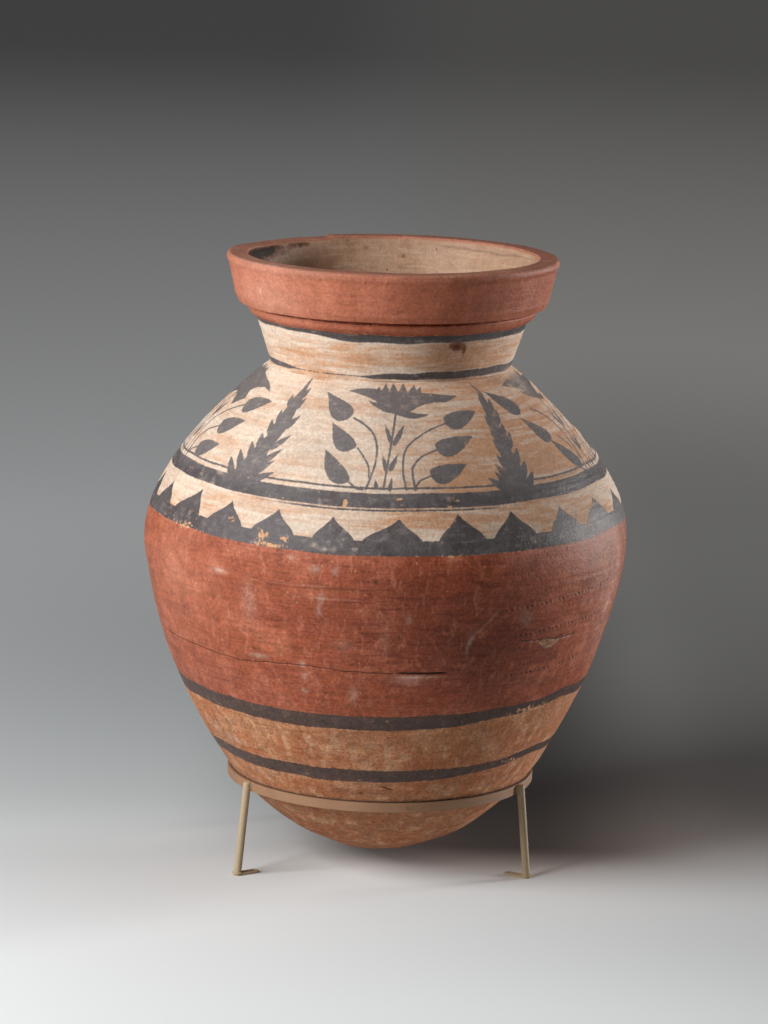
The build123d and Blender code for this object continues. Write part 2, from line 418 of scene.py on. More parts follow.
    def _red(self, nodes: Nodes, tex: ClayTextures, thin: Value) -> Socket:
        """Gives the red slip, burnished round in fine lines, with smudges and with thin and deep stretches."""
        deep = (thin * -1.0).clamped()
        burnt = tex.fibre.ramp(0.5, 0.6) * 0.6 + tex.mottle.ramp(0.52, 0.64) * 0.45
        return nodes.layered(
            self.red.usual,
            (tex.patch.ramp(0.44, 0.66) * 0.4, self.red.thin),
            (deep * 0.75, self.red.thick),
            (deep * burnt, self.scorch),
            (tex.stroke.ramp(0.5, 0.7) * 0.3 + tex.fibre.ramp(0.5, 0.68) * 0.4, self.red.thick),
            (tex.line.ramp(0.53, 0.68) * 0.3, self.red.thick),
            (tex.stroke.ramp(0.44, 0.3) * 0.4 + deep * tex.fibre.ramp(0.47, 0.38) * 0.4, self.stain),
            (tex.smudge.ramp(0.52, 0.7) * 0.38, self.red.thin),
            (thin.clamped() * 0.75, self.red.thin))

    def _black(self, nodes: Nodes, tex: ClayTextures, cream_mm: Value, thin: Value) -> Socket:
        """Gives the black paint, faded in places and high on the shoulder, and browner low on the jar."""
        return nodes.layered(
            self.black.usual,
            (tex.patch.ramp(0.46, 0.64) * 0.4, self.black.thick),
            (cream_mm.ramp(*self.upper_shoulder) * 0.6, self.black.thin),
            (tex.mottle.ramp(0.5, 0.7) * 0.4 + tex.fibre.ramp(0.54, 0.74) * 0.3, self.black.thin),
            ((thin * -1.0).clamped(), self.black.thick),
            (cream_mm.ramp(*self.lower_jar) * 0.75, self.umber))

    def _inner(self, nodes: Nodes, tex: ClayTextures) -> Socket:
        """Gives the unslipped inside."""
        rubbed, wiped = tex.patch.ramp(0.42, 0.66) * 0.6, tex.fibre.ramp(0.48, 0.72) * 0.6
        return nodes.layered(self.inner.usual, (rubbed, self.inner.thick), (wiped, self.inner.thin))


@dataclass(frozen=True)
class SteelPaint:
    """Matt paint brushed over steel, with darker patches and scuffs through to an older coat."""

    name: str
    usual: Colour
    deep: Colour
    scuff: Colour
    rough: float = 0.62
    relief: float = 0.0004

    def material(self) -> bpy.types.Material:
        """Makes the painted finish.

        Returns:
            The material.
        """
        material, nodes = new_material(self.name)
        place = nodes.place()
        broad = nodes.noise(place, 16.0, 3.0)
        blotch = nodes.noise(place, 90.0, 4.0, 0.6)
        grain = nodes.noise(place, 1500.0, 2.0)
        brushed = nodes.noise(place, 420.0, 3.0)
        worn = (blotch * 0.6 + broad * 0.5).ramp(0.66, 0.74)
        dark = broad.ramp(0.4, 0.68) * 0.6 + brushed.ramp(0.45, 0.8) * 0.4
        colour = nodes.layered(self.usual, (dark, self.deep), (worn * 0.8, self.scuff))
        colour = nodes.shaded(colour, 0.94 + (grain - 0.5) * 0.2)
        rough = self.rough + (blotch - 0.5) * 0.2 + worn * 0.12
        nodes.surface(colour, rough, brushed * 0.5 + grain * 0.4 - worn * 0.4, self.relief)
        return material


@dataclass(frozen=True)
class FeltFinish:
    """Pressed wool felt, coloured dark so that it also paints the shade in the gap between the hoop and the jar."""

    # Dark colours, which also paint the shadowed gap between the hoop and the jar: painted shade.
    usual: Colour = screen(78, 58, 46)
    pale: Colour = screen(112, 88, 71)
    rough: float = 0.95
    relief: float = 0.0008

    def material(self) -> bpy.types.Material:
        """Makes the felt.

        Returns:
            The material.
        """
        material, nodes = new_material("felt_and_gap_shade")
        place = nodes.place()
        fibre = nodes.noise(place, 1400.0, 4.0, 0.7)
        tuft = nodes.noise(place, 300.0, 3.0)
        colour = nodes.mix(fibre.ramp(0.4, 0.7) * 0.7 + tuft.ramp(0.45, 0.7) * 0.3, self.usual, self.pale)
        nodes.surface(colour, self.rough + (fibre - 0.5) * 0.08, fibre * 0.7 + tuft * 0.5, self.relief)
        return material


@dataclass(frozen=True)
class FloorFinish:
    """Pale studio floor, darker towards the back and grey far away as painted fall-off of the light, with painted
    shade right of and behind the jar and towards the key light, and a faint glow, painted light, far away and in
    front for the camera alone.
    """

    # Floor colours from the front to far away: darker towards the back and with distance, painted fall-off of the
    # light.
    near: Colour = screen(239, 243, 245)
    middle: Colour = screen(206, 211, 213)
    away: Colour = screen(160, 160, 160)
    bounce: Colour = screen(192, 190, 188)
    shade: Colour = screen(206, 206, 203)
    glow: Colour = (0.162, 0.162, 0.163, 1.0)
    shade_glow: Colour = (0.15, 0.147, 0.139, 1.0)
    # Strengths of the painted shade right of and behind the jar, of the painted shadow strip behind its right side,
    # of the glow in front, and of the painted shade towards the key light.
    painted_right_back_shade: float = 0.5
    painted_lee_shadow: float = 0.8
    front_glow: float = 0.12
    painted_key_side_shade: float = 0.6
    key_way: tuple[float, float] = (-0.81, -0.58)
    right_side: tuple[float, float] = (-0.2, 0.4)
    rough: float = 0.82
    relief: float = 0.0002

    def material(self) -> bpy.types.Material:
        """Makes the floor's finish.

        Returns:
            The material.
        """
        material, nodes = new_material("studio_floor")
        place = nodes.place()
        across, along, _ = nodes.parts(place)
        reach = nodes.math("SQRT", across * across + along * along, 0.0)
        rays = nodes.make("ShaderNodeLightPath")
        seen = Value(nodes, rays.outputs["Is Camera Ray"]).most(Value(nodes, rays.outputs["Is Glossy Ray"]))
        seen = seen.most(Value(nodes, rays.outputs["Is Transmission Ray"]))
        # Painted shade: darker to the right of and behind the jar.
        painted_shade = 1.0 - across.ramp(-0.3, 0.6) * along.ramp(0.0, 0.4) * reach.ramp(5.0, 2.2) * self.painted_right_back_shade
        # Painted shadow in a strip behind the jar's right side.
        strip = across.ramp(-0.32, 0.15) * across.ramp(0.46, 0.2) * along.ramp(-0.07, 0.05)
        painted_shade = painted_shade * (1.0 - strip * reach.ramp(3.0, 0.9) * self.painted_lee_shadow)
        # Painted shade on the floor towards the key light, away from the jar.
        towards_key = across * self.key_way[0] + along * self.key_way[1]
        painted_shade = painted_shade * (1.0 - towards_key.ramp(0.9, 2.4) * self.painted_key_side_shade)
        right = across.ramp(*self.right_side)
        ground = nodes.mix(right, self.middle, self.shade)
        # Darker towards the back and grey far away: painted fall-off of the light.
        colour = nodes.layered(self.near, (along.ramp(-0.4, 0.34), ground), (reach.ramp(1.5, 9.0), self.away))
        colour = nodes.mix(seen, self.bounce, nodes.shaded(colour, painted_shade))
        # Glow for the camera alone, far away and in front of the jar: painted light.
        fall = reach.ramp(3.0, 15.0) * (0.64 + across.ramp(0.5, -0.5) * 0.12)
        lit = seen * painted_shade * reach.ramp(0.5, 2.5) * (1.0 - fall)
        front = seen * along.ramp(-0.3, -0.75) * across.ramp(-0.5, 0.4) * self.front_glow
        glow = nodes.mix(front, (0.0, 0.0, 0.0, 1.0), (1.0, 1.0, 1.0, 1.0))
        glow = nodes.mix(lit, glow, nodes.mix(right, self.glow, self.shade_glow))
        speckle = nodes.noise(place, 320.0, 2.0)
        plain = {"Emission Color": glow, "Emission Strength": 1.0}
        nodes.surface(colour, self.rough + (speckle - 0.5) * 0.1, speckle, self.relief, plain)
        return material


class Waves:
    """A smooth random swell over a turned surface, which closes on itself round the axis."""

    def __init__(self, seed: int, turns: tuple[int, int], lengths: tuple[float, float], count: int = 16) -> None:
        """Draws the waves.

        Args:
            seed: what the draws start from.
            turns: the fewest and most waves to a turn.
            lengths: the shortest and longest wave down the wall, in millimetres.
            count: how many waves are added up.
        """
        draw = np.random.default_rng(seed)
        self.turns = draw.integers(turns[0], turns[1] + 1, count)
        self.steps = 2.0 * pi / draw.uniform(lengths[0], lengths[1], count) * draw.choice((-1.0, 1.0), count)
        self.starts = draw.uniform(0.0, 2.0 * pi, count)
        self.share = 1.0 / sqrt(count / 2.0)

    def at(self, bearing: Array, run: Array) -> Array:
        """Gives the swell, about -2 to 2, at bearings and distances down the wall."""
        total = np.zeros(np.broadcast(bearing, run).shape)
        for turns, step, start in zip(self.turns, self.steps, self.starts):
            total += np.sin(np.radians(bearing) * turns + run * step + start)
        return total * self.share


@dataclass
class Wall:
    """The jar's wall below the neck: a chain of tangent arcs from the pole to the neck's root."""

    pole: float
    arcs: tuple[tuple[float, float], ...] = ((46.0, 8.0), (284.0, 50.3), (751.0, 21.7), (131.0, 40.0), (524.0, 23.2))
    thickness: float = 22.0
    past_root: float = 40.0
    table_steps: int = 8000
    runs: Array = field(init=False)
    slopes: Array = field(init=False)
    centres: Array = field(init=False)

    def __post_init__(self) -> None:
        """Works out where each arc starts, its slope there and its centre."""
        runs, slopes, centres = [0.0], [0.0], []
        place = np.array((0.0, self.pole))
        for radius, turn in self.arcs:
            slope = slopes[-1]
            centre = place + radius * np.array((-sin(slope), cos(slope)))
            slope += radians(turn)
            place = centre + radius * np.array((sin(slope), -cos(slope)))
            centres.append(centre)
            slopes.append(slope)
            runs.append(runs[-1] + radius * radians(turn))
        self.runs, self.slopes, self.centres = np.array(runs), np.array(slopes), np.array(centres)
        self.radii = np.array([radius for radius, _ in self.arcs])
        self.table = np.linspace(0.0, self.runs[-1] + self.past_root, self.table_steps)

    def at(self, run: Array, depth: float = 0.0) -> Array:
        """Gives points of the wall.

        Args:
            run: distances up the outside from the pole.
            depth: how far under the outside.

        Returns:
            Radius and height of each point, side by side.
        """
        run = np.asarray(run, float)
        arc = np.clip(np.searchsorted(self.runs, run, side="right") - 1, 0, len(self.radii) - 1)
        slope = self.slopes[arc] + (run - self.runs[arc]) / self.radii[arc]
        reach = self.radii[arc] - depth
        return self.centres[arc] + np.stack((reach * np.sin(slope), -reach * np.cos(slope)), -1)

    def run_at(self, height: float, depth: float = 0.0) -> float:
        """Gives the run at which the wall reaches a height."""
        return float(np.interp(height, self.at(self.table, depth)[:, 1], self.table))

    def radius_at(self, height: float, depth: float = 0.0) -> float:
        """Gives the wall's radius at a height."""
        return float(self.at(self.run_at(height, depth), depth)[0])

    def drop_at(self, height: float) -> float:
        """Gives the drop at a height."""
        return float(self.runs[-1] - self.run_at(height))

    def radius_down(self, drop: Array) -> Array:
        """Gives the radius at drops."""
        return self.at(self.runs[-1] - np.asarray(drop, float))[..., 0]

    def flat(self, places: Sequence[Place]) -> Array:
        """Lays places, given as bearing and drop, out flat in millimetres across and down."""
        given = np.array(places, float)
        return np.stack((np.radians(given[:, 0]) * self.radius_down(given[:, 1]), given[:, 1]), -1)


def smooth_line(points: Array, pieces: int = 6) -> Array:
    """Passes a smooth line through points.

    Args:
        points: the points in order.
        pieces: how many steps go between two of them.

    Returns:
        The points of the smooth line.
    """
    padded = np.vstack((2 * points[0] - points[1], points, 2 * points[-1] - points[-2]))
    steps = np.linspace(0.0, 1.0, pieces, endpoint=False)[:, None]
    line = []
    for a, b, c, d in zip(padded[:-3], padded[1:-2], padded[2:-1], padded[3:]):
        line.append(b + 0.5 * steps * (c - a + steps * (2 * a - 5 * b + 4 * c - d + steps * (3 * (b - c) + d - a))))
    return np.vstack((*line, points[-1:]))


def to_stretch(across: Array, down: Array, start: Array, end: Array) -> Array:
    """Gives the distances of points, across and down, to a straight stretch."""
    (x, y), (wide, deep) = start, end - start
    share = ((across - x) * wide + (down - y) * deep) / (wide * wide + deep * deep + 1e-9)
    share = np.clip(share, 0.0, 1.0)
    return np.hypot(across - x - share * wide, down - y - share * deep)


class PaintField:
    """Signed distance in millimetres to the black paint over a section's points, below zero in the paint."""

    def __init__(self, wall: Wall, bearing: Array, drop: Array) -> None:
        """Starts with no paint.

        Args:
            wall: the wall that the paint is on.
            bearing, drop: where the section's points are.
        """
        self.bearing = bearing
        self.drop = drop
        self.radius = wall.radius_down(np.clip(drop, 0.0, None))
        self.distance = np.full(bearing.shape, FAR)

    def _near(self, centre: float, corners: Array, spare: float = 0.0) -> tuple[tuple[Array, Array], Array, Array]:
        """Picks the points near a shape.

        Args:
            centre: the bearing that the shape is laid out from.
            corners: the shape's corners, in millimetres across and down.
            spare: how far the shape reaches past its corners.

        Returns:
            The points' indices, and their places across and down.
        """
        across = np.radians(turned(self.bearing - centre)) * self.radius
        low, high = corners.min(0) - FAR - spare, corners.max(0) + FAR + spare
        close = (across > low[0]) & (across < high[0]) & (self.drop > low[1]) & (self.drop < high[1])
        where = np.nonzero(close)
        return where, across[where], self.drop[where]

    def _keep(self, where: tuple[Array, Array], found: Array) -> None:
        """Keeps the lesser of the distances at some points."""
        self.distance[where] = np.minimum(self.distance[where], found)

    def outline(self, centre: float, corners: Array) -> None:
        """Fills a closed outline.

        Args:
            centre: the bearing that the outline is laid out from.
            corners: its corners, in millimetres across and down.
        """
        where, across, down = self._near(centre, corners)
        nearest, inside = np.full(across.shape, FAR), np.zeros(across.shape, bool)
        for start, end in zip(corners, np.roll(corners, -1, axis=0)):
            nearest = np.minimum(nearest, to_stretch(across, down, start, end))
            wide, deep = end - start
            spans = (start[1] > down) != (end[1] > down)
            inside ^= spans & (across < start[0] + (down - start[1]) * wide / (deep if deep else 1.0))
        self._keep(where, np.where(inside, -nearest, nearest))

    def stroke(self, centre: float, points: Array, widths: Sequence[float]) -> None:
        """Draws one stroke of the brush.

        Args:
            centre: the bearing that the stroke is laid out from.
            points: the points it passes, in millimetres across and down.
            widths: its widths at even steps along it.
        """
        line = smooth_line(points)
        where, across, down = self._near(centre, line, max(widths) / 2.0)
        halves = np.interp(np.linspace(0.0, 1.0, len(line)), np.linspace(0.0, 1.0, len(widths)), widths) / 2.0
        nearest = np.full(across.shape, FAR)
        for start, end, half in zip(line[:-1], line[1:], halves):
            nearest = np.minimum(nearest, to_stretch(across, down, start, end) - half)
        self._keep(where, nearest)

    def band(self, top: Array, bottom: Array, sway: Waves, amount: float = 0.5) -> None:
        """Draws a band round the jar.

        Args:
            top, bottom: its edges' drops at each point.
            sway: the swell that its edges follow.
            amount: how much of that swell.
        """
        upper = top + amount * sway.at(self.bearing, self.drop * 0.0 + float(np.mean(top)))
        lower = bottom + amount * sway.at(self.bearing, self.drop * 0.0 + float(np.mean(bottom)))
        self.distance = np.minimum(self.distance, np.maximum(upper - self.drop, self.drop - lower))


@dataclass(frozen=True)
class Leaf:
    """A leaf in one dab of the brush: its tip, round butt, width, lean to one side and how pointed it is."""

    tip: Place
    butt: Place
    width: float
    lean: float = 0.0
    point: float = 1.0
    steps: int = 48

    def outline(self, wall: Wall) -> Array:
        """Lays the leaf's outline out flat.

        Args:
            wall: the wall that it is painted on.

        Returns:
            The outline's corners in millimetres across and down.
        """
        tip, butt = wall.flat((self.tip, self.butt))
        along = tip - butt
        side = np.array((-along[1], along[0])) / np.linalg.norm(along)
        turn = np.linspace(0.0, 2.0 * pi, self.steps, endpoint=False)
        share = (1.0 + np.cos(turn)) / 2.0
        widest = sqrt(0.5 / (0.5 + self.point)) * (self.point / (0.5 + self.point)) ** self.point
        half = np.sqrt(share) * (1.0 - share) ** self.point / widest * self.width / 2.0
        out = half * (np.sign(np.sin(turn)) + self.lean)
        return butt + share[:, None] * along + out[:, None] * side


@dataclass(frozen=True)
class Stem:
    """A line of the brush through places, with its width at the start and at the end."""

    places: tuple[Place, ...]
    widths: tuple[float, float]


class FrondForm(Enum):
    """The two spiky fronds: the spine's places and widths from tip to foot, then the tips of the barbs."""

    LEANING = (
        ((3.2, 5, 2), (3.5, 24, 7), (3.5, 40, 14), (3.4, 66, 19), (3.0, 84, 22), (2.2, 103, 20),
         (0.9, 121, 23), (0.6, 138, 29), (-0.6, 152, 32), (-2.6, 168, 22)),
        ((-0.8, 34), (-0.6, 61), (-2.0, 77), (-2.6, 98), (-4.5, 113), (-7.2, 127), (-9.3, 139),
         (6.2, 20), (7.1, 38), (8.8, 65), (8.9, 95), (8.0, 117), (7.3, 134), (8.9, 150)),
    )
    UPRIGHT = (
        ((1.0, 8, 1.5), (2.9, 22, 6), (1.9, 39, 11), (1.6, 58, 13), (0.9, 78, 14), (0.5, 96, 17),
         (0.1, 116, 20), (0.0, 134, 26), (-0.1, 150, 29), (-1.0, 166, 22)),
        ((5.6, 34), (5.5, 52), (4.6, 73), (5.5, 87), (5.0, 111), (5.7, 129), (6.6, 146),
         (-1.3, 59), (-1.9, 78), (-2.7, 95), (-3.9, 118), (-5.7, 130), (-6.6, 141), (-9.5, 148)),
    )


@dataclass(frozen=True)
class Frond:
    """A spiky frond between two panels: the bearing of its middle, its form and how its barbs grow."""

    centre: float
    form: FrondForm
    barb: tuple[float, float] = (20.0, 28.0)
    barb_width: float = 10.0
    growth: tuple[float, float] = (0.8, 1.2)
    outset: float = 0.35
    length: float = 160.0
    lowest: float = 170.0

    def paint(self, wall: Wall, paint: PaintField) -> None:
        """Paints the body and the barbs.

        Args:
            wall: the wall that they are on.
            paint: the field that takes the paint.
        """
        spine, tips = self.form.value
        bearings, drops, widths = np.array(spine, float).T
        paint.stroke(self.centre, wall.flat(np.stack((bearings, drops), -1)), widths)
        for bearing, drop in tips:
            foot = drop + np.interp(drop, (0.0, self.length), self.barb)
            middle = float(np.interp(foot, drops, bearings))
            butt = (middle + self.outset * (bearing - middle), min(foot, self.lowest))
            width = self.barb_width * float(np.interp(drop, (0.0, self.length), self.growth))
            paint.outline(self.centre, Leaf((bearing, drop), butt, width).outline(wall))


class Bloom(Enum):
    """The two flowers, as outlines in bearing from the panel's middle and drop."""

    OPEN = (
        (-17.7, 18.8), (-14.4, 14.5), (-9, 12), (-5.7, 13), (-5, 7.5), (-3.6, 15), (-1.9, 2.4),
        (-0.2, 15.4), (1.4, 0.5), (3.6, 16), (6, 1.4), (7.6, 17.5), (11, 3.4), (11.6, 14), (14, 6.8),
        (13.4, 18.4), (16, 19), (21, 22), (29.2, 24.5), (26, 29.7), (22.7, 34.6), (18.5, 34), (13.7, 36.8),
        (11, 41), (7.7, 48.4), (10.2, 51), (15.5, 51.8), (12.8, 55.6), (9, 59.3), (5.9, 57.8), (1.9, 52.6),
        (-1.4, 50.5), (-4.3, 45), (-6.8, 39.4), (-8.6, 32), (-6.5, 34.9), (-4.4, 36.6), (-5.8, 32),
        (-11, 25), (-15, 21),
    )
    DROOPING = (
        (-27.5, 38), (-24, 29), (-19, 22), (-12, 16), (-8, 10), (-6, 14), (-3, 4), (-1, 11), (1, 3),
        (3, 11), (6, 5), (8, 13), (12, 16), (19, 22), (24, 29), (27.5, 38), (22, 34), (16.5, 37), (13, 46),
        (15.5, 58), (8.5, 74), (4.5, 60), (0, 56), (-4.5, 60), (-8.5, 74), (-15.5, 58), (-13, 46),
        (-16.5, 37), (-22, 34),
    )


LEAVES = (
    Leaf((-27.2, 22), (-14.7, 64), 31.0, 0.0, 1.4),
    Leaf((-20.2, 69), (-10.2, 105), 26.5, -0.53, 1.3),
    Leaf((-19.2, 111), (-10.5, 153), 25.5, -0.52, 1.0),
    Leaf((33.7, 51), (19.7, 60), 28.0, 0.5, 0.9),
    Leaf((28.0, 89), (14.6, 100), 27.5, 0.5, 1.0),
    Leaf((23.2, 128), (11.7, 138), 26.5, 0.5, 1.0),
    Leaf((-1.4, 69), (0.9, 98), 5.4),
    Leaf((5.2, 69), (1.6, 101), 7.0),
    Leaf((-1.7, 113), (-0.5, 138), 5.4),
    Leaf((2.8, 113), (0.5, 137), 6.5),
    Leaf((1.1, 145), (0.6, 164), 5.0),
    Leaf((-3.4, 149), (-2.8, 161), 5.0),
)
STEMS = (
    Stem(((2.4, 52), (1.8, 68), (1.1, 90), (0.1, 120), (-0.5, 140), (-1.1, 161)), (3.0, 2.7)),
    Stem(((-12.4, 62), (-8.7, 70), (-5.1, 84), (-3.5, 104), (-3.7, 127), (-4.7, 145), (-5.7, 162)), (3.2, 2.6)),
    Stem(((-9.4, 106), (-7.2, 118), (-5.6, 131), (-5.2, 146)), (2.7, 2.4)),
    Stem(((-10.6, 153), (-8.3, 161), (-6.5, 163)), (2.8, 2.4)),
    Stem(((20.0, 67), (14.0, 76), (9.0, 89), (5.7, 103), (4.4, 120), (4.3, 142), (5.0, 162)), (2.7, 2.6)),
    Stem(((14.6, 107), (10.1, 116), (7.2, 130), (6.9, 142), (7.4, 162)), (2.9, 3.2)),
    Stem(((12.0, 143), (8.8, 150), (7.6, 158)), (2.6, 2.4)),
)


@dataclass(frozen=True)
class Panel:
    """One painted panel: its middle, its flower, how freely it was painted and how its first leaves shift."""

    centre: float
    bloom: Bloom
    seed: int = 0
    freedom: float = 1.0
    nudges: tuple[float, ...] = ()
    slip: float = 1.8
    stem_slip: float = 0.5

    def paint(self, wall: Wall, paint: PaintField) -> None:
        """Paints the flower, the leaves and the stems.

        Args:
            wall: the wall that they are on.
            paint: the field that takes the paint.
        """
        draw = np.random.default_rng(self.seed)
        paint.outline(self.centre, wall.flat(self.bloom.value) + self._slip(draw))
        for leaf, nudge in zip_longest(LEAVES, self.nudges, fillvalue=0.0):
            paint.outline(self.centre + nudge, leaf.outline(wall) + self._slip(draw))
        for stem in STEMS:
            paint.stroke(self.centre, wall.flat(stem.places) + self._slip(draw) * self.stem_slip, stem.widths)

    def _slip(self, draw: np.random.Generator) -> Array:
        """Draws how far the brush came down from its place, in millimetres."""
        return draw.uniform(-self.slip, self.slip, 2) * self.freedom


@dataclass(frozen=True)
class Tooth:
    """One pointed tooth: the place of its tip, and how far its foot reaches to the left and the right."""

    tip: Place
    left: float
    right: float
    hollow: float = 0.06
    tuck: float = 6.0
    steps: int = 9

    def outline(self, root: float) -> Array:
        """Lays the tooth's outline out flat.

        Args:
            root: the drop of its foot.

        Returns:
            The outline's corners in millimetres across and down.
        """
        share = np.linspace(0.0, 1.0, self.steps)
        half = share - self.hollow * np.sin(2.0 * pi * share)
        down = self.tip[1] + share * (root - self.tip[1])
        right, left = np.stack((half * self.right, down), -1), np.stack((-half * self.left, down), -1)
        foot = np.array(((self.right, root + self.tuck), (-self.left, root + self.tuck)))
        return np.vstack((right, foot, left[:0:-1]))


@dataclass
class Brushwork:
    """All the black paint of the jar."""

    wall: Wall
    panels: tuple[Panel, ...] = (
        Panel(0.0, Bloom.OPEN, 1, 0.0), Panel(75.5, Bloom.OPEN, 2, 1.0, (-6.0, -3.5, 4.0)),
        Panel(142.7, Bloom.DROOPING, 3), Panel(209.8, Bloom.OPEN, 4), Panel(277.0, Bloom.DROOPING, 5, 0.4),
    )
    fronds: tuple[Frond, ...] = (
        Frond(-41.5, FrondForm.LEANING), Frond(37.75, FrondForm.UPRIGHT), Frond(109.1, FrondForm.LEANING),
        Frond(176.3, FrondForm.UPRIGHT), Frond(243.4, FrondForm.LEANING),
    )
    shoulder_bands: tuple[tuple[float, float], ...] = ((158.7, 161.5), (167.0, 186.6))
    faint_line: tuple[float, float] = (188.5, 190.9)
    faint_ends: tuple[float, float] = (20.0, 48.0)
    line_sway: float = 0.4
    tooth_sway: float = 0.5
    lower_sway: float = 0.6
    lower_bands: tuple[tuple[float, float], ...] = ((251.3, 231.1), (171.7, 153.9))
    lower_rise: tuple[tuple[float, float, float], ...] = (
        (-180, 5, 6), (-75, 5, 6), (-52, 3, 3.5), (-40, 0, 0), (-14, -1.5, -1.5), (2, -0.5, 0),
        (18, 1.5, 2.5), (31, 2.5, 9), (41, 6, 12.5), (51, 10, 17), (58, 13, 21), (90, 11, 15), (180, 5, 6),
    )
    top_band: tuple[float, float] = (713.9, 704.0)
    slim_stretch: tuple[float, float, float, float] = (-150.0, -110.0, -45.0, -12.0)
    slim: float = 5.0
    root_foot: float = 655.5
    root_lift: float = 2.5
    root_sway: float = 0.3
    root_line: tuple[Place, ...] = (
        (-180, 9), (-66, 7.5), (-57, 6), (-49, 1.5), (-20, 1.7), (-14, 2.6), (-8, 5.2), (3, 8.6), (18, 9.2),
        (34, 10), (60, 10), (180, 9),
    )
    teeth: tuple[Tooth, ...] = (
        Tooth((-71.1, 195.4), 30, 28), Tooth((-54.7, 190.5), 44, 17), Tooth((-41.7, 196.8), 35, 29),
        Tooth((-27.5, 197.7), 33, 29), Tooth((-13.1, 200.3), 24, 31), Tooth((3.1, 199.9), 47, 30),
        Tooth((17.8, 193.8), 30, 35), Tooth((32.2, 194.3), 33, 33), Tooth((47.8, 196.9), 27, 34),
    )
    more_teeth: tuple[float, float, int] = (62.8, 15.07, 15)
    tooth_seed: int = 21
    tooth_tip: float = 196.0
    tooth_slip: Place = (1.0, 3.0)
    tooth_left: tuple[float, float] = (26.0, 40.0)
    tooth_right: tuple[float, float] = (26.0, 36.0)
    tooth_root: float = 231.0
    tooth_lap: float = 2.0
    red_top: float = 247.6
    rise: tuple[Place, ...] = (
        (-180, -2), (-110, -2), (-62, -6), (-46, -3), (-30, -1.4), (-14, 0), (18, 0), (34, -1), (50, -2.2),
        (64, -4), (110, -2), (180, -2),
    )

    def tilt(self, bearing: Array) -> Array:
        """Gives how far the turned lines of the shoulder wander from their drop at bearings."""
        return np.interp(turned(bearing), *np.array(self.rise, float).T)

    def lower_rises(self, bearing: Array) -> tuple[Array, Array]:
        """Gives how far the top and the foot of the lower bands rise above their drop at bearings."""
        along, top, foot = np.array(self.lower_rise, float).T
        return np.interp(turned(bearing), along, top), np.interp(turned(bearing), along, foot)

    def paint_wall(self, bearing: Array, drop: Array) -> Array:
        """Paints a section below the neck.

        Args:
            bearing, drop: where its points are.

        Returns:
            The signed distance to the paint at each point.
        """
        paint = PaintField(self.wall, bearing, drop)
        sway = Waves(seed=11, turns=(2, 24), lengths=(400.0, 900.0))
        tilt = self.tilt(bearing)
        for top, bottom in self.shoulder_bands:
            paint.band(top + tilt, bottom + tilt, sway, self.line_sway)
        top, bottom = self.faint_line
        faded = (bottom - top) * eased(*self.faint_ends, abs(turned(bearing)))
        paint.band(top + tilt + faded, bottom + tilt - faded, sway, self.line_sway)
        top_rise, foot_rise = self.lower_rises(bearing)
        for top, bottom in self.lower_bands:
            upper, lower = self.wall.drop_at(top) - top_rise, self.wall.drop_at(bottom) - foot_rise
            paint.band(upper, lower, sway, self.lower_sway)
        paint.band(self.tooth_root - self.tooth_lap + tilt, self.red_top + tilt, sway, self.tooth_sway)
        draw = np.random.default_rng(self.tooth_seed)
        start, step, count = self.more_teeth
        drawn = [self._drawn_tooth(draw, start + step * number) for number in range(count)]
        for tooth in (*self.teeth, *drawn):
            paint.outline(tooth.tip[0], tooth.outline(self.tooth_root + float(self.tilt(tooth.tip[0]))))
        for panel in self.panels:
            panel.paint(self.wall, paint)
        for frond in self.fronds:
            frond.paint(self.wall, paint)
        return paint.distance

    def _drawn_tooth(self, draw: np.random.Generator, bearing: float) -> Tooth:
        """Draws a tooth of the unseen side, near a bearing.

        Args:
            draw: what it is drawn from.
            bearing: where its tip is meant to be.

        Returns:
            The tooth.
        """
        aside, down = self.tooth_slip
        tip = (bearing + draw.uniform(-aside, aside), self.tooth_tip + draw.uniform(-down, down))
        return Tooth(tip, draw.uniform(*self.tooth_left), draw.uniform(*self.tooth_right))

    def paint_neck(self, bearing: Array, height: Array) -> Array:
        """Paints the two bands of the neck.

        Args:
            bearing, height: where the neck's points are.

        Returns:
            The signed distance to the paint at each point.
        """
        sway = Waves(seed=13, turns=(2, 18), lengths=(300.0, 700.0))
        level = height * 0.0
        top, top_foot = self.top_band
        first, first_full, last_full, last = self.slim_stretch
        slim = self.slim * eased(last, last_full, bearing) * eased(first, first_full, bearing)
        top_foot = top_foot + slim + self.lower_sway * sway.at(bearing, level + 40.0)
        distance = np.maximum(height - top - self.line_sway * sway.at(bearing, level), top_foot - height)
        thick = np.interp(turned(bearing), *np.array(self.root_line, float).T)
        foot = self.root_foot + self.root_lift * eased(6.0, 2.0, thick)
        foot = foot + self.root_sway * sway.at(bearing, level + 150.0)
        root = foot + thick + self.root_sway * sway.at(bearing, level + 90.0)
        return np.minimum(distance, np.maximum(height - root, foot - height))


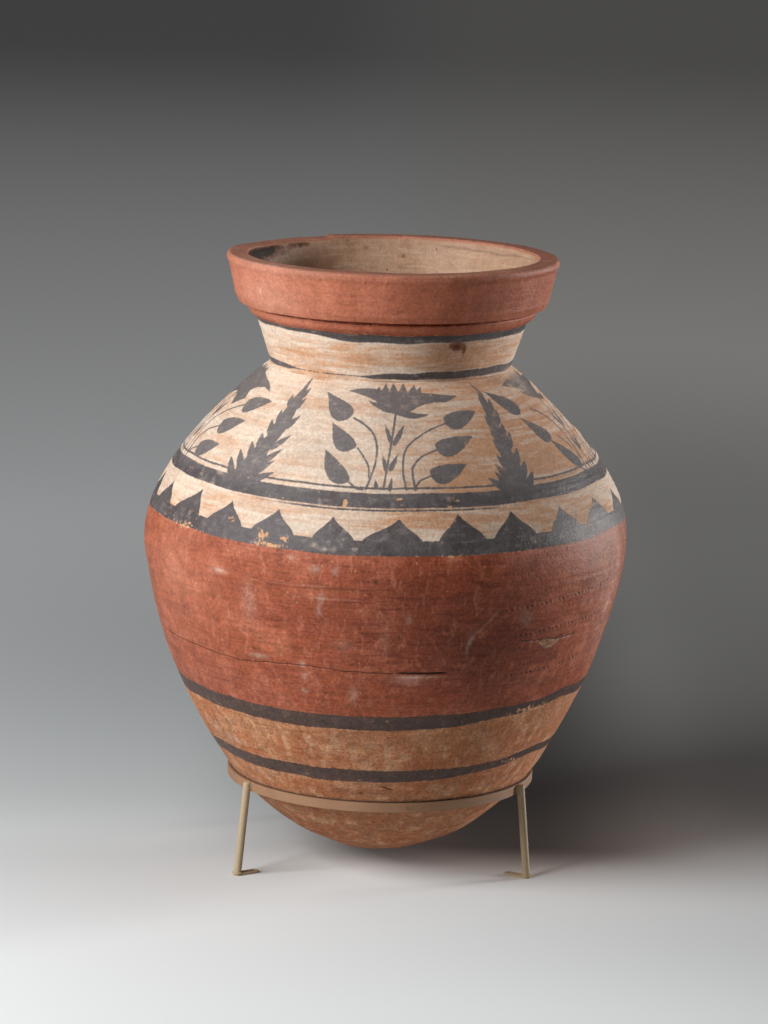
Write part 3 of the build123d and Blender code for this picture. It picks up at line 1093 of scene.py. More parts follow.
@dataclass(frozen=True)
class Crack:
    """A crack along places given as bearing and height, with its width and depth in millimetres."""

    places: tuple[Place, ...]
    width: float
    depth: float
    jag: float = 0.8
    taper: float = 3.0
    narrow: float = 0.3
    shadow: tuple[float, float] = (0.25, 0.9)
    dark: float = 0.9

    def at(self, bearing: Array, height: Array, jags: Waves) -> Array:
        """Gives how far a point is in the crack, 0 to 1.

        Args:
            bearing, height: where the points are.
            jags: the swell that makes its line uneven.

        Returns:
            The share of its depth at each point.
        """
        along, level = np.array(self.places, float).T
        line = np.interp(bearing, along, level) + self.jag * jags.at(bearing, height * 0.0)
        ends = eased(along[0], along[0] + self.taper, bearing) * eased(along[-1], along[-1] - self.taper, bearing)
        uneven = np.clip(0.95 + 0.1 * jags.at(bearing * 0.5, height * 0.0 + 500.0), 0.82, 1.0)
        half = self.width / 2.0 * (self.narrow + (1.0 - self.narrow) * ends)
        return np.exp(-((height - line) / half) ** 2) * np.minimum(1.0, 2.0 * ends) * uneven


@dataclass(frozen=True)
class CordRow:
    """A row of slanted notches where a cord was tied round the wet clay."""

    start: Place
    end: Place
    pitch: float = 7.4
    notch: tuple[float, float] = (5.0, 2.6)
    slant: float = -40.0
    rise: float = 0.2
    depth: float = 0.8
    shadow: tuple[float, float] = (0.2, 0.8)
    dark: float = 0.9
    # Pale dust on the ridges between the notches, which also paints a highlight there.
    dust: float = 0.25
    ridge_dust_and_highlight_edge: float = 0.4

    def at(self, bearing: Array, height: Array, radius: float) -> tuple[Array, Array]:
        """Gives how far a point is in a notch and in the row, 0 to 1.

        Args:
            bearing, height: where the points are.
            radius: the wall's radius there.

        Returns:
            The share of the notches' depth and of the row's rise at each point.
        """
        first, last = radians(self.start[0]) * radius, radians(self.end[0]) * radius
        count = int((last - first) / self.pitch)
        across, deepest = np.radians(bearing) * radius, np.zeros(np.broadcast(bearing, height).shape)
        for number in range(count + 1):
            share = number / count
            left = across - first - share * (last - first)
            over = height - self.start[1] - share * (self.end[1] - self.start[1]) - 0.5 * sin(number * 2.4)
            along = left * cos(radians(self.slant)) + over * sin(radians(self.slant))
            aside = over * cos(radians(self.slant)) - left * sin(radians(self.slant))
            dent = np.exp(-(along / (self.notch[0] / 2.0)) ** 4 - (aside / (self.notch[1] / 2.0)) ** 2)
            deepest = np.maximum(deepest, dent * (0.72 + 0.28 * sin(number * 1.7)))
        line = np.interp(bearing, (self.start[0], self.end[0]), (self.start[1], self.end[1]))
        ends = eased(self.start[0] - 2.0, self.start[0], bearing) * eased(self.end[0] + 2.0, self.end[0], bearing)
        return deepest, np.exp(-((height - line) / (self.notch[0] / 2.0)) ** 2) * ends


@dataclass(frozen=True)
class Patch:
    """A soft-edged place on the jar, as bearing and height, with half its width and height in millimetres."""

    place: Place
    half: tuple[float, float]
    strength: float

    def at(self, bearing: Array, height: Array, radius: Array) -> Array:
        """Gives the patch's strength at points."""
        across = np.radians(turned(bearing - self.place[0])) * radius / self.half[0]
        return self.strength * np.exp(-across ** 2 - ((height - self.place[1]) / self.half[1]) ** 2)


def patches(*rows: tuple[float, float, float, float, float]) -> tuple[Patch, ...]:
    """Makes patches from rows of bearing, height, half width, half height and strength."""
    return tuple(Patch((row[0], row[1]), (row[2], row[3]), row[4]) for row in rows)


@dataclass
class Wear:
    """What use and age have left on the jar's skin, with patches that also paint shade, sheen and highlights."""

    cracks: tuple[Crack, ...] = (
        Crack(((-74.8, 316.5), (-63.0, 316.3), (-50.3, 313.8), (-38.0, 310.6), (-20.5, 315.2), (-10.0, 311.8),
               (-0.3, 310.1), (4.0, 311.2)), 1.7, 0.9, 0.3),
        Crack(((2.8, 311.2), (9.6, 311.1), (17.2, 310.7)), 3.4, 2.2, 0.25),
        Crack(((-0.6, 148.2), (6.3, 139.6)), 2.6, 1.5, 0.2),
        Crack(((-33.0, 425.0), (-26.6, 417.0), (-18.0, 417.5), (-6.0, 420.0), (3.8, 421.6)), 1.6, 0.45, 0.3),
        Crack(((-24.0, 399.0), (-14.0, 401.5), (-0.7, 404.5)), 1.6, 0.4, 0.4),
        Crack(((-12.0, 279.5), (-4.0, 279.0), (6.0, 278.0)), 1.6, 0.4, 0.3),
        Crack(((33.5, 347.0), (40.3, 344.8), (49.1, 341.0), (55.0, 341.3)), 1.8, 1.2, 0.3),
    )
    cords: tuple[CordRow, ...] = (
        CordRow((29.5, 389.5), (66.0, 402.5)), CordRow((34.5, 354.6), (62.0, 362.0)),
        CordRow((33.0, 299.4), (59.0, 307.0)),
    )
    flake: tuple[Place, ...] = (
        (40.4, 368.0), (48.4, 371.5), (48.0, 377.0), (46.0, 381.0), (44.3, 382.0), (41.4, 374.5),
    )
    scratches: tuple[Stem, ...] = (
        Stem(((-32.4, 289.6), (-22.8, 289.6), (-13.2, 288.7)), (1.0, 1.4)),
        Stem(((-20.3, 297.2), (-21.2, 309.4)), (1.4, 1.0)),
        Stem(((-38.4, 336.7), (-40.3, 347.9)), (1.2, 1.4)), Stem(((-51.6, 498.7), (-43.8, 501.3)), (2.6, 1.4)),
        Stem(((-20.2, 422.1), (-18.3, 424.6), (-16.6, 420.1), (-15.2, 426.6), (-13.0, 422.0), (-11.2, 424.9)),
             (1.2, 1.2)),
    )
    rubs: tuple[Stem, ...] = (
        Stem(((27.5, 319.5), (25.1, 334.5), (22.1, 349.7), (20.5, 365.7), (20.6, 381.1)), (4.5, 3.5)),
    )
    scratch_look: tuple[float, float] = (0.9, 0.6)
    rub_look: tuple[float, float] = (2.4, 0.5)
    pits: tuple[Patch, ...] = patches(
        (-2, 431, 1.5, 3, 1), (-6.5, 136, 2.5, 1.5, 0.9), (48.6, 345, 2.4, 2, 1), (54, 343.5, 2.2, 2.2, 1),
        (20, 118, 3, 2, 0.8), (-15, 213, 2, 1.6, 0.8),
    )
    chips: tuple[Patch, ...] = patches(
        (-10.7, 520.6, 2.8, 4.6, 1.3), (3.2, 527, 4.5, 2.2, 0.9), (15.7, 518, 9, 2, 0.6),
        (18, 525, 8, 2.5, 0.55), (-40, 487, 12, 9, 0.6), (-29.8, 476, 14, 9, 0.62),
        (-24, 473.5, 10, 6, 0.62), (9.5, 480.5, 7, 5, 0.45), (-27, 465, 26, 3, 0.6),
        (-37, 658, 30, 12, 0.62), (-55, 468, 44, 8, 0.54), (15, 462, 6, 2.6, 0.8), (46, 246, 60, 8, 0.56),
        (44, 172, 40, 7, 0.5), (-30, 240, 90, 12, 0.3),
    )
    # Dust patches; those at bearings 56 to 72 on the belly and at -50 on the collar also paint the lamps' sheen
    # there: painted sheen.
    dust: tuple[Patch, ...] = patches(
        (-16, 442.5, 8, 6, 0.9), (-11.3, 441, 5, 6, 0.8), (-21.8, 454, 7, 4, 0.8), (-16.8, 471, 6, 4, 1),
        (-14.4, 467, 7, 3, 1), (-12, 467.5, 4, 4, 0.9), (-14.4, 407, 4.5, 8, 0.85),
        (-15.1, 390, 4.5, 10, 0.8), (-32, 320.6, 16, 4, 0.85), (-20.4, 316.5, 6, 5, 0.8),
        (-20.2, 281, 6, 5, 0.8), (-7.4, 279.7, 7, 15, 0.7), (-19.8, 301.3, 5, 6, 0.8),
        (-41.2, 424, 16, 5, 0.75), (-9.6, 345, 18, 13, 0.4), (0.5, 355, 8, 24, 0.35),
        (5.8, 383.5, 5, 9, 0.6), (-33, 390, 14, 34, 0.55), (10, 306.5, 38, 2, 0.65), (6, 301, 24, 7, 0.65),
        (35.5, 376, 12, 14, 0.6), (20.8, 354, 6, 16, 0.45), (64, 424, 80, 50, 0.65),
        (56, 480, 60, 25, 0.4), (72, 340, 60, 70, 0.55), (-58, 420, 60, 70, 0.28), (-62, 197, 26, 6, 0.7),
        (-53, 187, 30, 6, 0.7), (-2.8, 209.5, 12, 5, 0.7), (30, 218, 14, 6, 0.6),
        (-12, 406.5, 50, 1.6, 0.55), (-50, 752, 90, 36, 0.5), (0, 794, 9000, 2.5, 0.4),
        (0, 788, 9000, 6, 0.25), (73, 640, 40, 24, 0.8),
    )
    stains: tuple[Patch, ...] = patches(
        (29, 698, 14, 7, 1), (33, 690, 3, 12, 0.6), (19, 542, 22, 8, 0.3), (-8.6, 208, 8, 4, 0.6),
        (0, 795, 9000, 3, 0.5),
    )
    # Soot and stains inside the mouth; the three at bearings -97 to -138 also paint the shade of the inner left wall:
    # painted shade.
    inner_soot_and_shade: tuple[Patch, ...] = patches(
        (-97, 779, 58, 24, 1.5), (-119, 783, 38, 9, 1.15), (-138, 786, 18, 5, 1.1), (-168, 778, 7, 6, 0.7),
        (176, 770, 9, 5, 0.55), (150, 766, 60, 8, 0.25),
    )
    inner_crack: Crack = Crack(((112.0, 786.0), (130.0, 781.0), (150.0, 783.0), (165.0, 786.0)), 3.0, 0.4, 0.25)
    # Places where the slip lies thin; those at bearings 20 to 64 also paint the shade of the jar's right side:
    # painted shade.
    thin_cream_and_shade: tuple[Patch, ...] = patches(
        (45, 540, 120, 90, 0.75), (20, 545, 60, 30, 0.5), (35, 690, 70, 40, 0.6), (60, 600, 120, 60, 0.5),
        (-60, 480, 60, 20, 0.4), (150, 560, 150, 80, 0.4), (-34, 655, 20, 8, 0.6), (-14, 683, 22, 7, 0.9),
        (-60, 400, 110, 90, 0.45), (-60, 755, 110, 60, 0.5), (2, 503, 80, 20, 0.6), (64, 500, 40, 30, 0.4),
    )
    deep_red: tuple[Patch, ...] = patches(
        (20, 345, 100, 50, 0.95), (8, 420, 80, 34, 0.5), (-1, 385, 34, 80, 0.25), (160, 380, 120, 60, 0.5),
        (-120, 350, 90, 50, 0.4), (10, 709, 9000, 7, 1), (20, 660, 90, 7, 0.8),
    )
    inner_dark: float = 0.35
    neck_thin: float = 0.3
    collar_thin: float = 0.5
    flake_edge: float = 1.2
    flake_depth: float = 0.5
    flake_chip: float = 0.72
    flake_stain: float = 0.58
    most: float = 1.5

    def gathered(self, places: Sequence[Patch], section: "JarSection") -> Array:
        """Adds patches up over a section, within a limit.

        Args:
            places: the patches.
            section: the section.

        Returns:
            Their strength at each point.
        """
        total = np.zeros(section.bearing.shape)
        for place in places:
            total += place.at(section.bearing, section.height, section.radius)
        return np.minimum(total, self.most)


class Face(Enum):
    """Which side of a section a ring of points is on."""

    OUTER = 0
    LAP = 1
    INNER = 2


@dataclass
class Rings:
    """Rings of points in order along one stretch of a section's profile, with the way out of the clay."""

    points: Array
    drop: Array
    face: Face

    def ways_out(self) -> Array:
        """Gives the unit vector out of the clay at each ring, as radius and height."""
        if len(self.points) < 2:
            return np.zeros(self.points.shape)
        along = np.gradient(self.points, axis=0)
        out = np.stack((along[:, 1], -along[:, 0]), -1)
        return out / np.maximum(np.linalg.norm(out, axis=1), 1e-9)[:, None]


def moulded_line(corners: Sequence[tuple[float, float, float]], step: float) -> Array:
    """Goes through corners in straight stretches and rounds them.

    Args:
        corners: the radius, height and rounding of each corner.
        step: the greatest distance between two points of the line.

    Returns:
        The line's points as radius and height.
    """
    line = [np.array(corners[0][:2])]
    for before, corner, after in zip(corners[:-2], corners[1:-1], corners[2:]):
        here = np.array(corner[:2])
        back, on = np.array(before[:2]) - here, np.array(after[:2]) - here
        back, on = back / np.linalg.norm(back), on / np.linalg.norm(on)
        half = np.arccos(np.clip(back @ on, -1.0, 1.0)) / 2.0
        if corner[2] <= 0.0:
            line.append(here)
            continue
        setback = corner[2] / tan(half)
        middle = here + (back + on) / np.linalg.norm(back + on) * corner[2] / sin(half)
        start, end = here + back * setback - middle, here + on * setback - middle
        turn = pi - 2.0 * half
        for share in np.linspace(0.0, 1.0, max(3, int(turn * corner[2] / step * 2.0) + 2)):
            line.append(middle + (start * sin((1.0 - share) * turn) + end * sin(share * turn)) / sin(turn))
    line.append(np.array(corners[-1][:2]))
    filled = [line[0]]
    for point in line[1:]:
        count = max(1, int(np.ceil(np.linalg.norm(point - filled[-1]) / step)))
        filled += [filled[-1] + (point - filled[-1]) * k / count for k in range(1, count + 1)]
    return np.array(filled)


@dataclass
class JarSection:
    """One luted section of the jar, as a closed skin of rings."""

    name: str
    slot: str
    columns: int
    stretches: list[Rings]
    poled: bool = False

    STRIPS = 3
    OUTER_SHARE = 0.3
    INNER_SHARE = 0.09
    SPACE = 0.01
    MARGIN = 0.002
    SHARP = 38.0

    def __post_init__(self) -> None:
        """Puts the stretches together and lays the grid of points out."""
        self.points = np.vstack([rings.points for rings in self.stretches])
        self.ways = np.vstack([rings.ways_out() for rings in self.stretches])
        self.faces = np.concatenate([np.full(len(rings.points), rings.face.value) for rings in self.stretches])
        self.outer = (self.faces == Face.OUTER.value).astype(float)[:, None]
        self.inner = (self.faces == Face.INNER.value).astype(float)[:, None]
        self.bearings = -180.0 + 360.0 * np.arange(self.columns) / self.columns
        self.bearing, self.height = np.meshgrid(self.bearings, self.points[:, 1])
        drops = np.concatenate([rings.drop for rings in self.stretches])
        self.drop = np.repeat(drops[:, None], self.columns, 1)
        self.radius = np.repeat(self.points[:, :1], self.columns, 1)

    def build(self, lift: Array, sink: Array, stored: dict[str, Array],
              material: bpy.types.Material) -> bpy.types.Object:
        """Makes the section's mesh.

        Args:
            lift: how far each point moves out of the clay.
            sink: how far each point moves down.
            stored: vectors to keep with the points.
            material: the finish.

        Returns:
            The section's object.
        """
        rows, columns = lift.shape
        radius = self.points[:, :1] + lift * self.ways[:, :1]
        height = self.points[:, 1:] + lift * self.ways[:, 1:] - sink
        turn = np.radians(self.bearings + FRONT)[None, :]
        points = np.stack((radius * np.sin(turn), -radius * np.cos(turn), height), -1).reshape(-1, 3)
        stored = {name: given.reshape(-1, 3) for name, given in stored.items()}
        quads, sides = self._quads(rows, columns)
        loops, starts = [quads.ravel()], [np.arange(len(quads)) * 4]
        maps = [sides.reshape(-1, 2)]
        if self.poled:
            poles = np.array(((0.0, 0.0, points[0, 2]), (0.0, 0.0, points[-1, 2])))
            fans, fan_maps = self._fans(rows, columns)
            starts.append(len(loops[0]) + np.arange(len(fans)) * 3)
            loops.append(fans.ravel())
            maps.append(fan_maps.reshape(-1, 2))
            points = np.vstack((points, poles))
            stored = {name: np.vstack((given, given[:1], given[-1:])) for name, given in stored.items()}
        mesh = self._mesh(points * MM, np.concatenate(loops), np.concatenate(starts), np.concatenate(maps))
        for name, given in stored.items():
            kept = mesh.attributes.new(name, "FLOAT_VECTOR", "POINT")
            kept.data.foreach_set("vector", given.astype(np.float32).ravel())
        mesh.materials.append(material)
        piece = bpy.data.objects.new(f"jar_{self.name}", mesh)
        bpy.context.scene.collection.objects.link(piece)
        return piece

    def _mesh(self, points: Array, loops: Array, starts: Array, flat: Array) -> bpy.types.Mesh:
        """Fills a new mesh.

        Args:
            points: its points in metres.
            loops: the points of its faces, face after face.
            starts: where each face begins in loops.
            flat: each loop's place on the bake.

        Returns:
            The mesh, smooth but for its sharp corners.
        """
        mesh = bpy.data.meshes.new(f"jar_{self.name}")
        mesh.vertices.add(len(points))
        mesh.vertices.foreach_set("co", points.astype(np.float32).ravel())
        mesh.loops.add(len(loops))
        mesh.loops.foreach_set("vertex_index", loops.astype(np.int32))
        mesh.polygons.add(len(starts))
        mesh.polygons.foreach_set("loop_start", starts.astype(np.int32))
        mesh.update(calc_edges=True)
        mesh.uv_layers.new(name="OFBake").uv.foreach_set("vector", flat.astype(np.float32).ravel())
        mesh.shade_smooth()
        mesh.set_sharp_from_angle(angle=radians(self.SHARP))
        return mesh

    def _levels(self) -> Array:
        """Gives each ring's share of its way along the outside, or along the laps and the inside."""
        steps = np.linalg.norm(np.diff(self.points, axis=0, prepend=self.points[:1]), axis=1)
        outer = self.faces == Face.OUTER.value
        levels = np.zeros(len(steps))
        for side in (outer, ~outer):
            along = np.cumsum(steps[side]) - steps[side][0]
            levels[side] = along / along[-1]
        return levels

    def _flat(self, ring: Array, share: Array, outer: Array, levels: Array) -> Array:
        """Gives places on the bake: the outside in three strips, all else in one below them.

        Args:
            ring: ring numbers.
            share: the share of a turn, 0 to 1.
            outer: whether the face is on the outside.
            levels: each ring's share of its way.

        Returns:
            The places, two numbers each.
        """
        strip = np.minimum(np.floor(share.mean(-1, keepdims=True) * self.STRIPS), self.STRIPS - 1.0)
        level = levels[ring]
        across = np.where(outer, share * self.STRIPS - strip, share)
        foot = self.INNER_SHARE + self.SPACE + strip * (self.OUTER_SHARE + self.MARGIN)
        outer_up = foot + level * (self.OUTER_SHARE - 2.0 * self.MARGIN)
        up = np.where(outer, outer_up, level * self.INNER_SHARE)
        return np.stack((self.MARGIN + (1.0 - 2.0 * self.MARGIN) * across, up), -1)

    def _quads(self, rows: int, columns: int) -> tuple[Array, Array]:
        """Gives the four-sided faces between rings and their places on the bake.

        Args:
            rows, columns: the size of the grid.

        Returns:
            The faces' points and their places.
        """
        last = rows - 1 if self.poled else rows
        low, left = (index.ravel() for index in np.meshgrid(np.arange(last), np.arange(columns), indexing="ij"))
        high, right = (low + 1) % rows, (left + 1) % columns
        lower, upper = low * columns, high * columns
        quads = np.stack((lower + left, lower + right, upper + right, upper + left), -1)
        ring = np.stack((low, low, high, high), -1)
        share = np.stack((left, left + 1, left + 1, left), -1) / columns
        outside = self.faces == Face.OUTER.value
        outer = (outside[low] & outside[high])[:, None]
        beside = np.where(ring == 0, rows - 1, ring + 1)
        level_ring = np.where(outer | ~outside[ring], ring, beside)
        return quads, self._flat(np.clip(level_ring, 0, rows - 1), share, outer, self._levels())

    def _fans(self, rows: int, columns: int) -> tuple[Array, Array]:
        """Gives the three-sided faces at the two poles and their places on the bake.

        Args:
            rows, columns: the size of the grid.

        Returns:
            The faces' points and their places.
        """
        left = np.arange(columns)
        right = (left + 1) % columns
        pole, top = np.full(columns, rows * columns), (rows - 1) * columns
        lower = np.stack((pole, right, left), -1)
        upper = np.stack((top + left, top + right, pole + 1), -1)
        ring = np.zeros((columns, 3), int)
        share = np.stack((left + 0.5, left + 1.0, left + 0.0), -1) / columns
        outer = np.ones((columns, 1), bool)
        lower_flat = self._flat(ring, share, outer, self._levels())
        share = np.stack((left + 0.0, left + 1.0, left + 0.5), -1) / columns
        upper_flat = self._flat(ring + rows - 1, share, ~outer, self._levels())
        return np.vstack((lower, upper)), np.vstack((lower_flat, upper_flat))


@dataclass
class Jar:
    """The jar, thrown in six sections that are luted together."""

    neck_flare: float = 18.4
    ridge_step: float = 2.0
    ridge_rise: float = 14.5
    ridge_proud: float = 10.0
    ridge_bulge: float = 2.56
    ridge_height: float = 18.0
    ridge_rounds: tuple[float, float, float, float] = (0.8, 14.0, 1.8, 0.6)
    neck_step: float = 1.6
    neck_rings: int = 30
    groove_depth: float = 4.0
    collar_overhang: float = 10.0
    bevel: tuple[float, float] = (4.5, 8.5)
    collar_lean: float = 9.5
    lip_proud: float = 2.5
    lip_height: float = 7.5
    lip_slope: float = 5.5
    rim_width: float = 25.0
    rim_rounds: tuple[float, float] = (5.0, 2.5)
    collar_rounds: tuple[float, float, float, float] = (1.2, 2.5, 6.0, 4.0)
    collar_step: float = 1.5
    collar_rings: int = 64
    lute_gap: float = 0.3
    bulges: tuple[Patch, ...] = patches((-90, 300, 260, 110, 4.6), (88, 522, 220, 52, 4.6))
    seat_band: tuple[float, float, float, float] = (80.0, 104.0, 128.0, 148.0)
    seat_hold: float = 0.9
    lump_height: float = 0.42
    lump_limits: tuple[float, float] = (-0.95, 0.85)
    thrown_share: float = 0.45
    inner_lumps: float = 0.8
    rill_height: float = 0.06
    red_foot: float = 61.2
    slip_lap: float = 1.0
    ring_step: float = 2.4
    inner_step: float = 7.0
    pole_run: float = 3.0
    neck_run: float = 90.0
    mouth_depth: float = 8.0
    mouth_blend: float = 1.5
    mouth_reach: float = 2.0
    mouth_bare: float = 5.0
    mouth_limit: float = 9.0
    ridge_wear: tuple[float, float] = (2.2, 0.4)
    lip_wear: tuple[float, float] = (2.0, 0.2)
    foot_wear: tuple[float, float] = (3.0, 0.3)
    rim_wear: tuple[float, float] = (3.0, 0.22)
    worn_rim: tuple[float, float, float, float] = (-155.5, -152.5, -118.0, -104.0)
    worn_depth: float = 2.5
    worn_below: float = 9.0
    body: str = "pithos"
    wear: Wear = field(default_factory=Wear)

    def __post_init__(self) -> None:
        """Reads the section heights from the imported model."""
        self.wall = Wall(corner_box("base_bowl")[0].z)
        self.brush = Brushwork(self.wall)
        names = ("base_bowl", "lower_wall", "belly_wall", "shoulder", "neck", "rim_collar")
        self.seams = {name: corner_box(name)[1].z for name in names}
        self.lap = self.seams["base_bowl"] - corner_box("lower_wall")[0].z
        self.lumps = Waves(seed=3, turns=(2, 15), lengths=(70.0, 260.0))
        self.fingers = Waves(seed=5, turns=(0, 3), lengths=(7.0, 17.0), count=10)
        self.jags = Waves(seed=7, turns=(7, 70), lengths=(900.0, 2000.0), count=24)
        self.rim_radius = corner_box("rim_collar")[1].x
        self.root = self.seams["shoulder"]
        self.rim_top = self.seams["rim_collar"]
        self.funnel_foot = (self.wall.radius_at(self.root - self.lap, self.wall.thickness), self.root - self.lap)
        self.funnel_top = (self.rim_radius - self.rim_width, self.rim_top)

    def build(self) -> list[bpy.types.Object]:
        """Builds and dresses the six sections.

        Returns:
            Their objects.
        """
        finish = JarFinish().material()
        sections = (
            self._wall_section("base_bowl", "bare_clay", 480, None, ((138.0, 150.0, 1.2),)),
            self._wall_section("lower_wall", "red_slip", 960, "base_bowl",
                               ((140.0, 148.0, 1.2), (297.0, 312.0, 0.6))),
            self._wall_section("belly_wall", "red_slip", 1440, "lower_wall",
                               ((304.0, 321.0, 0.5), (321.0, 430.0, 1.1))),
            self._wall_section("shoulder", "cream_slip", 1440, "belly_wall", ((455.0, 660.0, 1.4),)),
            self._neck_section(),
            self._collar_section(),
        )
        return [self._dress(section, finish) for section in sections]

    def _funnel(self, height: Array) -> Array:
        """Gives the radius of the straight funnel inside the neck and the collar at heights."""
        (low_radius, low), (high_radius, high) = self.funnel_foot, self.funnel_top
        return low_radius + (height - low) / (high - low) * (high_radius - low_radius)

    def _lap_radius(self, seam: float) -> float:
        """Gives the radius of the step in a lap between two wall sections."""
        return self.wall.radius_at(seam, self.wall.thickness / 2.0)

    def _wall_section(self, name: str, slot: str, columns: int, below: Optional[str],
                      fine: tuple[tuple[float, float, float], ...]) -> JarSection:
        """Lays out one section of the wall.

        Args:
            name: the section's node.
            slot: its material slot.
            columns: how many points go round it.
            below: the section that it stands on, if any.
            fine: stretches of height with a closer spacing.

        Returns:
            The section.
        """
        high = self.seams[name]
        low_run = self.wall.run_at(self.seams[below]) if below else self.pole_run
        runs = [low_run]
        end = self.wall.run_at(high)
        while runs[-1] < end:
            height = float(self.wall.at(runs[-1])[1])
            steps = [step for low, up, step in fine if low <= height <= up]
            runs.append(runs[-1] + min(steps, default=self.ring_step))
        runs = low_run + (np.array(runs) - low_run) * (end - low_run) / (runs[-1] - low_run)
        outer = Rings(self.wall.at(runs), self.wall.runs[-1] - runs, Face.OUTER)
        lap = self._lap_rings(self._lap_radius(high), high, high - self.lap, self.wall.drop_at(high))
        depth = self.wall.thickness
        inner_high = self.wall.run_at(high - self.lap, depth)
        inner_low = self.wall.run_at(self.seams[below] - self.lap, depth) if below else self.pole_run
        inner_runs = np.linspace(inner_high, inner_low, max(6, int((inner_high - inner_low) / self.inner_step)))
        inner = Rings(self.wall.at(inner_runs, depth), self.wall.runs[-1] - inner_runs, Face.INNER)
        stretches = [outer, lap, inner]
        if below:
            seam = self.seams[below]
            step = self._lap_radius(seam) - self.lute_gap
            stretches.append(self._lap_rings(step, seam - self.lap, seam, self.wall.drop_at(seam)))
        return JarSection(name, slot, columns, stretches, poled=below is None)

    def _lap_rings(self, radius: float, first: float, last: float, drop: float) -> Rings:
        """Gives the two rings of a lap's step, from a first to a last height."""
        return Rings(np.array(((radius, first), (radius, last))), np.full(2, drop), Face.LAP)

    def _neck_section(self) -> JarSection:
        """Lays out the neck with its ridge.

        Returns:
            The section.
        """
        top, foot_radius = self.seams["neck"], self.wall.at(self.wall.runs[-1])[0]
        ridge = top - self.ridge_height
        neck_radius = foot_radius + (ridge - self.root) * tan(radians(self.neck_flare))
        start = (neck_radius + self.ridge_step, ridge)
        crest = (start[0] + self.ridge_proud, ridge + self.ridge_rise)
        length = hypot(self.ridge_proud, self.ridge_rise)
        swell = self.ridge_bulge / length
        bulge = ((start[0] + crest[0]) / 2.0 + swell * self.ridge_rise,
                 (start[1] + crest[1]) / 2.0 - swell * self.ridge_proud)
        groove = crest[0] - self.groove_depth
        rounds = self.ridge_rounds
        outer = moulded_line((
            (foot_radius, self.root, 0.0), (neck_radius, ridge, 0.0), (*start, rounds[0]), (*bulge, rounds[1]),
            (*crest, rounds[2]), (groove, crest[1], rounds[3]), (groove, top, 0.0)), self.neck_step)
        step = (groove + self._funnel(top)) / 2.0
        heights = np.linspace(top - self.lap, self.root - self.lap, self.neck_rings)
        inner = np.stack((self._funnel(heights), heights), -1)
        tongue = self._lap_radius(self.root) - self.lute_gap
        return JarSection("neck", "cream_slip", 720, [
            Rings(outer, self._up(outer, 0.0), Face.OUTER),
            self._lap_rings(step, top, top - self.lap, -self.neck_run),
            Rings(inner, self.root - inner[:, 1], Face.INNER),
            self._lap_rings(tongue, self.root - self.lap, self.root, 0.0)])

    def _collar_section(self) -> JarSection:
        """Lays out the collar with its lip.

        Returns:
            The section.
        """
        bottom, top = self.seams["neck"], self.rim_top
        lip_foot = top - self.lip_height
        wide = self.rim_radius - self.lip_proud
        bevel_radius = wide - self.collar_lean
        under = bevel_radius - self.bevel[0]
        groove = under - self.collar_overhang - self.groove_depth
        mouth = self.rim_radius - self.rim_width
        rounds, mouth_foot = self.collar_rounds, top - self.mouth_depth
        outer = moulded_line((
            (groove, bottom, 0.0), (under, bottom, rounds[0]), (bevel_radius, bottom + self.bevel[1], rounds[1]),
            (wide, lip_foot - self.lip_slope, rounds[2]), (self.rim_radius, lip_foot, rounds[3]),
            (self.rim_radius, top, self.rim_rounds[0]), (mouth, top, self.rim_rounds[1]),
            (self._funnel(mouth_foot), mouth_foot, 0.0)), self.collar_step)
        heights = np.linspace(mouth_foot - 2.0, bottom - self.lap, self.collar_rings)
        inner = np.stack((self._funnel(heights), heights), -1)
        step = (groove + self._funnel(bottom)) / 2.0 - self.lute_gap
        return JarSection("rim_collar", "red_slip", 840, [
            Rings(outer, self._up(outer, self.neck_run), Face.OUTER),
            Rings(inner, self.root - inner[:, 1], Face.INNER),
            self._lap_rings(step, bottom - self.lap, bottom, -self.neck_run)])

    def _up(self, points: Array, start: float) -> Array:
        """Gives drops above the neck's root, below zero, along a line that goes up from a start."""
        return -start - np.cumsum(np.linalg.norm(np.diff(points, axis=0, prepend=points[:1]), axis=1))

    def _dress(self, section: JarSection, finish: bpy.types.Material) -> bpy.types.Object:
        """Gives a section its relief, its paint and its wear, and sets it in the frame.

        Args:
            section: the section's rings.
            finish: the jar's finish.

        Returns:
            The section's object.
        """
        wear, outer, radius = self.wear, section.outer, section.radius
        lift, crevice, ridge_dust_and_highlight = self._relief(section)
        inside, flaked = self._inside(section), self._flaked(section)
        # Pits darken too, as grime and painted shade.
        crevice = np.maximum(crevice, wear.gathered(wear.pits, section) * outer)
        chipped = wear.gathered(wear.chips, section) * outer + self._worn_edges(section) + wear.flake_chip * flaked
        # Inside, the soot patches on the left also paint the shade of the wall there.
        soaked, inner_soot_and_shade_amount = wear.gathered(wear.stains, section), wear.gathered(wear.inner_soot_and_shade, section)
        stained_and_shaded = wear.flake_stain * flaked + np.where(inside > 0.5, inner_soot_and_shade_amount, soaked)
        dust_and_sheen = wear.gathered(wear.dust, section) * outer + ridge_dust_and_highlight + self._scratched(section)
        thin = wear.gathered(wear.thin_cream_and_shade, section) - wear.gathered(wear.deep_red, section)
        base = {"neck": wear.neck_thin, "rim_collar": wear.collar_thin}.get(section.name, 0.0)
        turn = np.radians(section.bearing)
        stored = {
            "cover": self._cover(section),
            "wheel": np.stack((radius * np.sin(turn), -radius * np.cos(turn), section.drop), -1) * MM,
            "marks": np.stack((crevice, chipped, stained_and_shaded), -1),
            "patina": np.stack((dust_and_sheen, inside, (thin + base) * outer), -1),
        }
        piece = section.build(lift, self._rim_wear(section), stored, finish)
        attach(piece, self.body)
        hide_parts(section.name)
        return piece

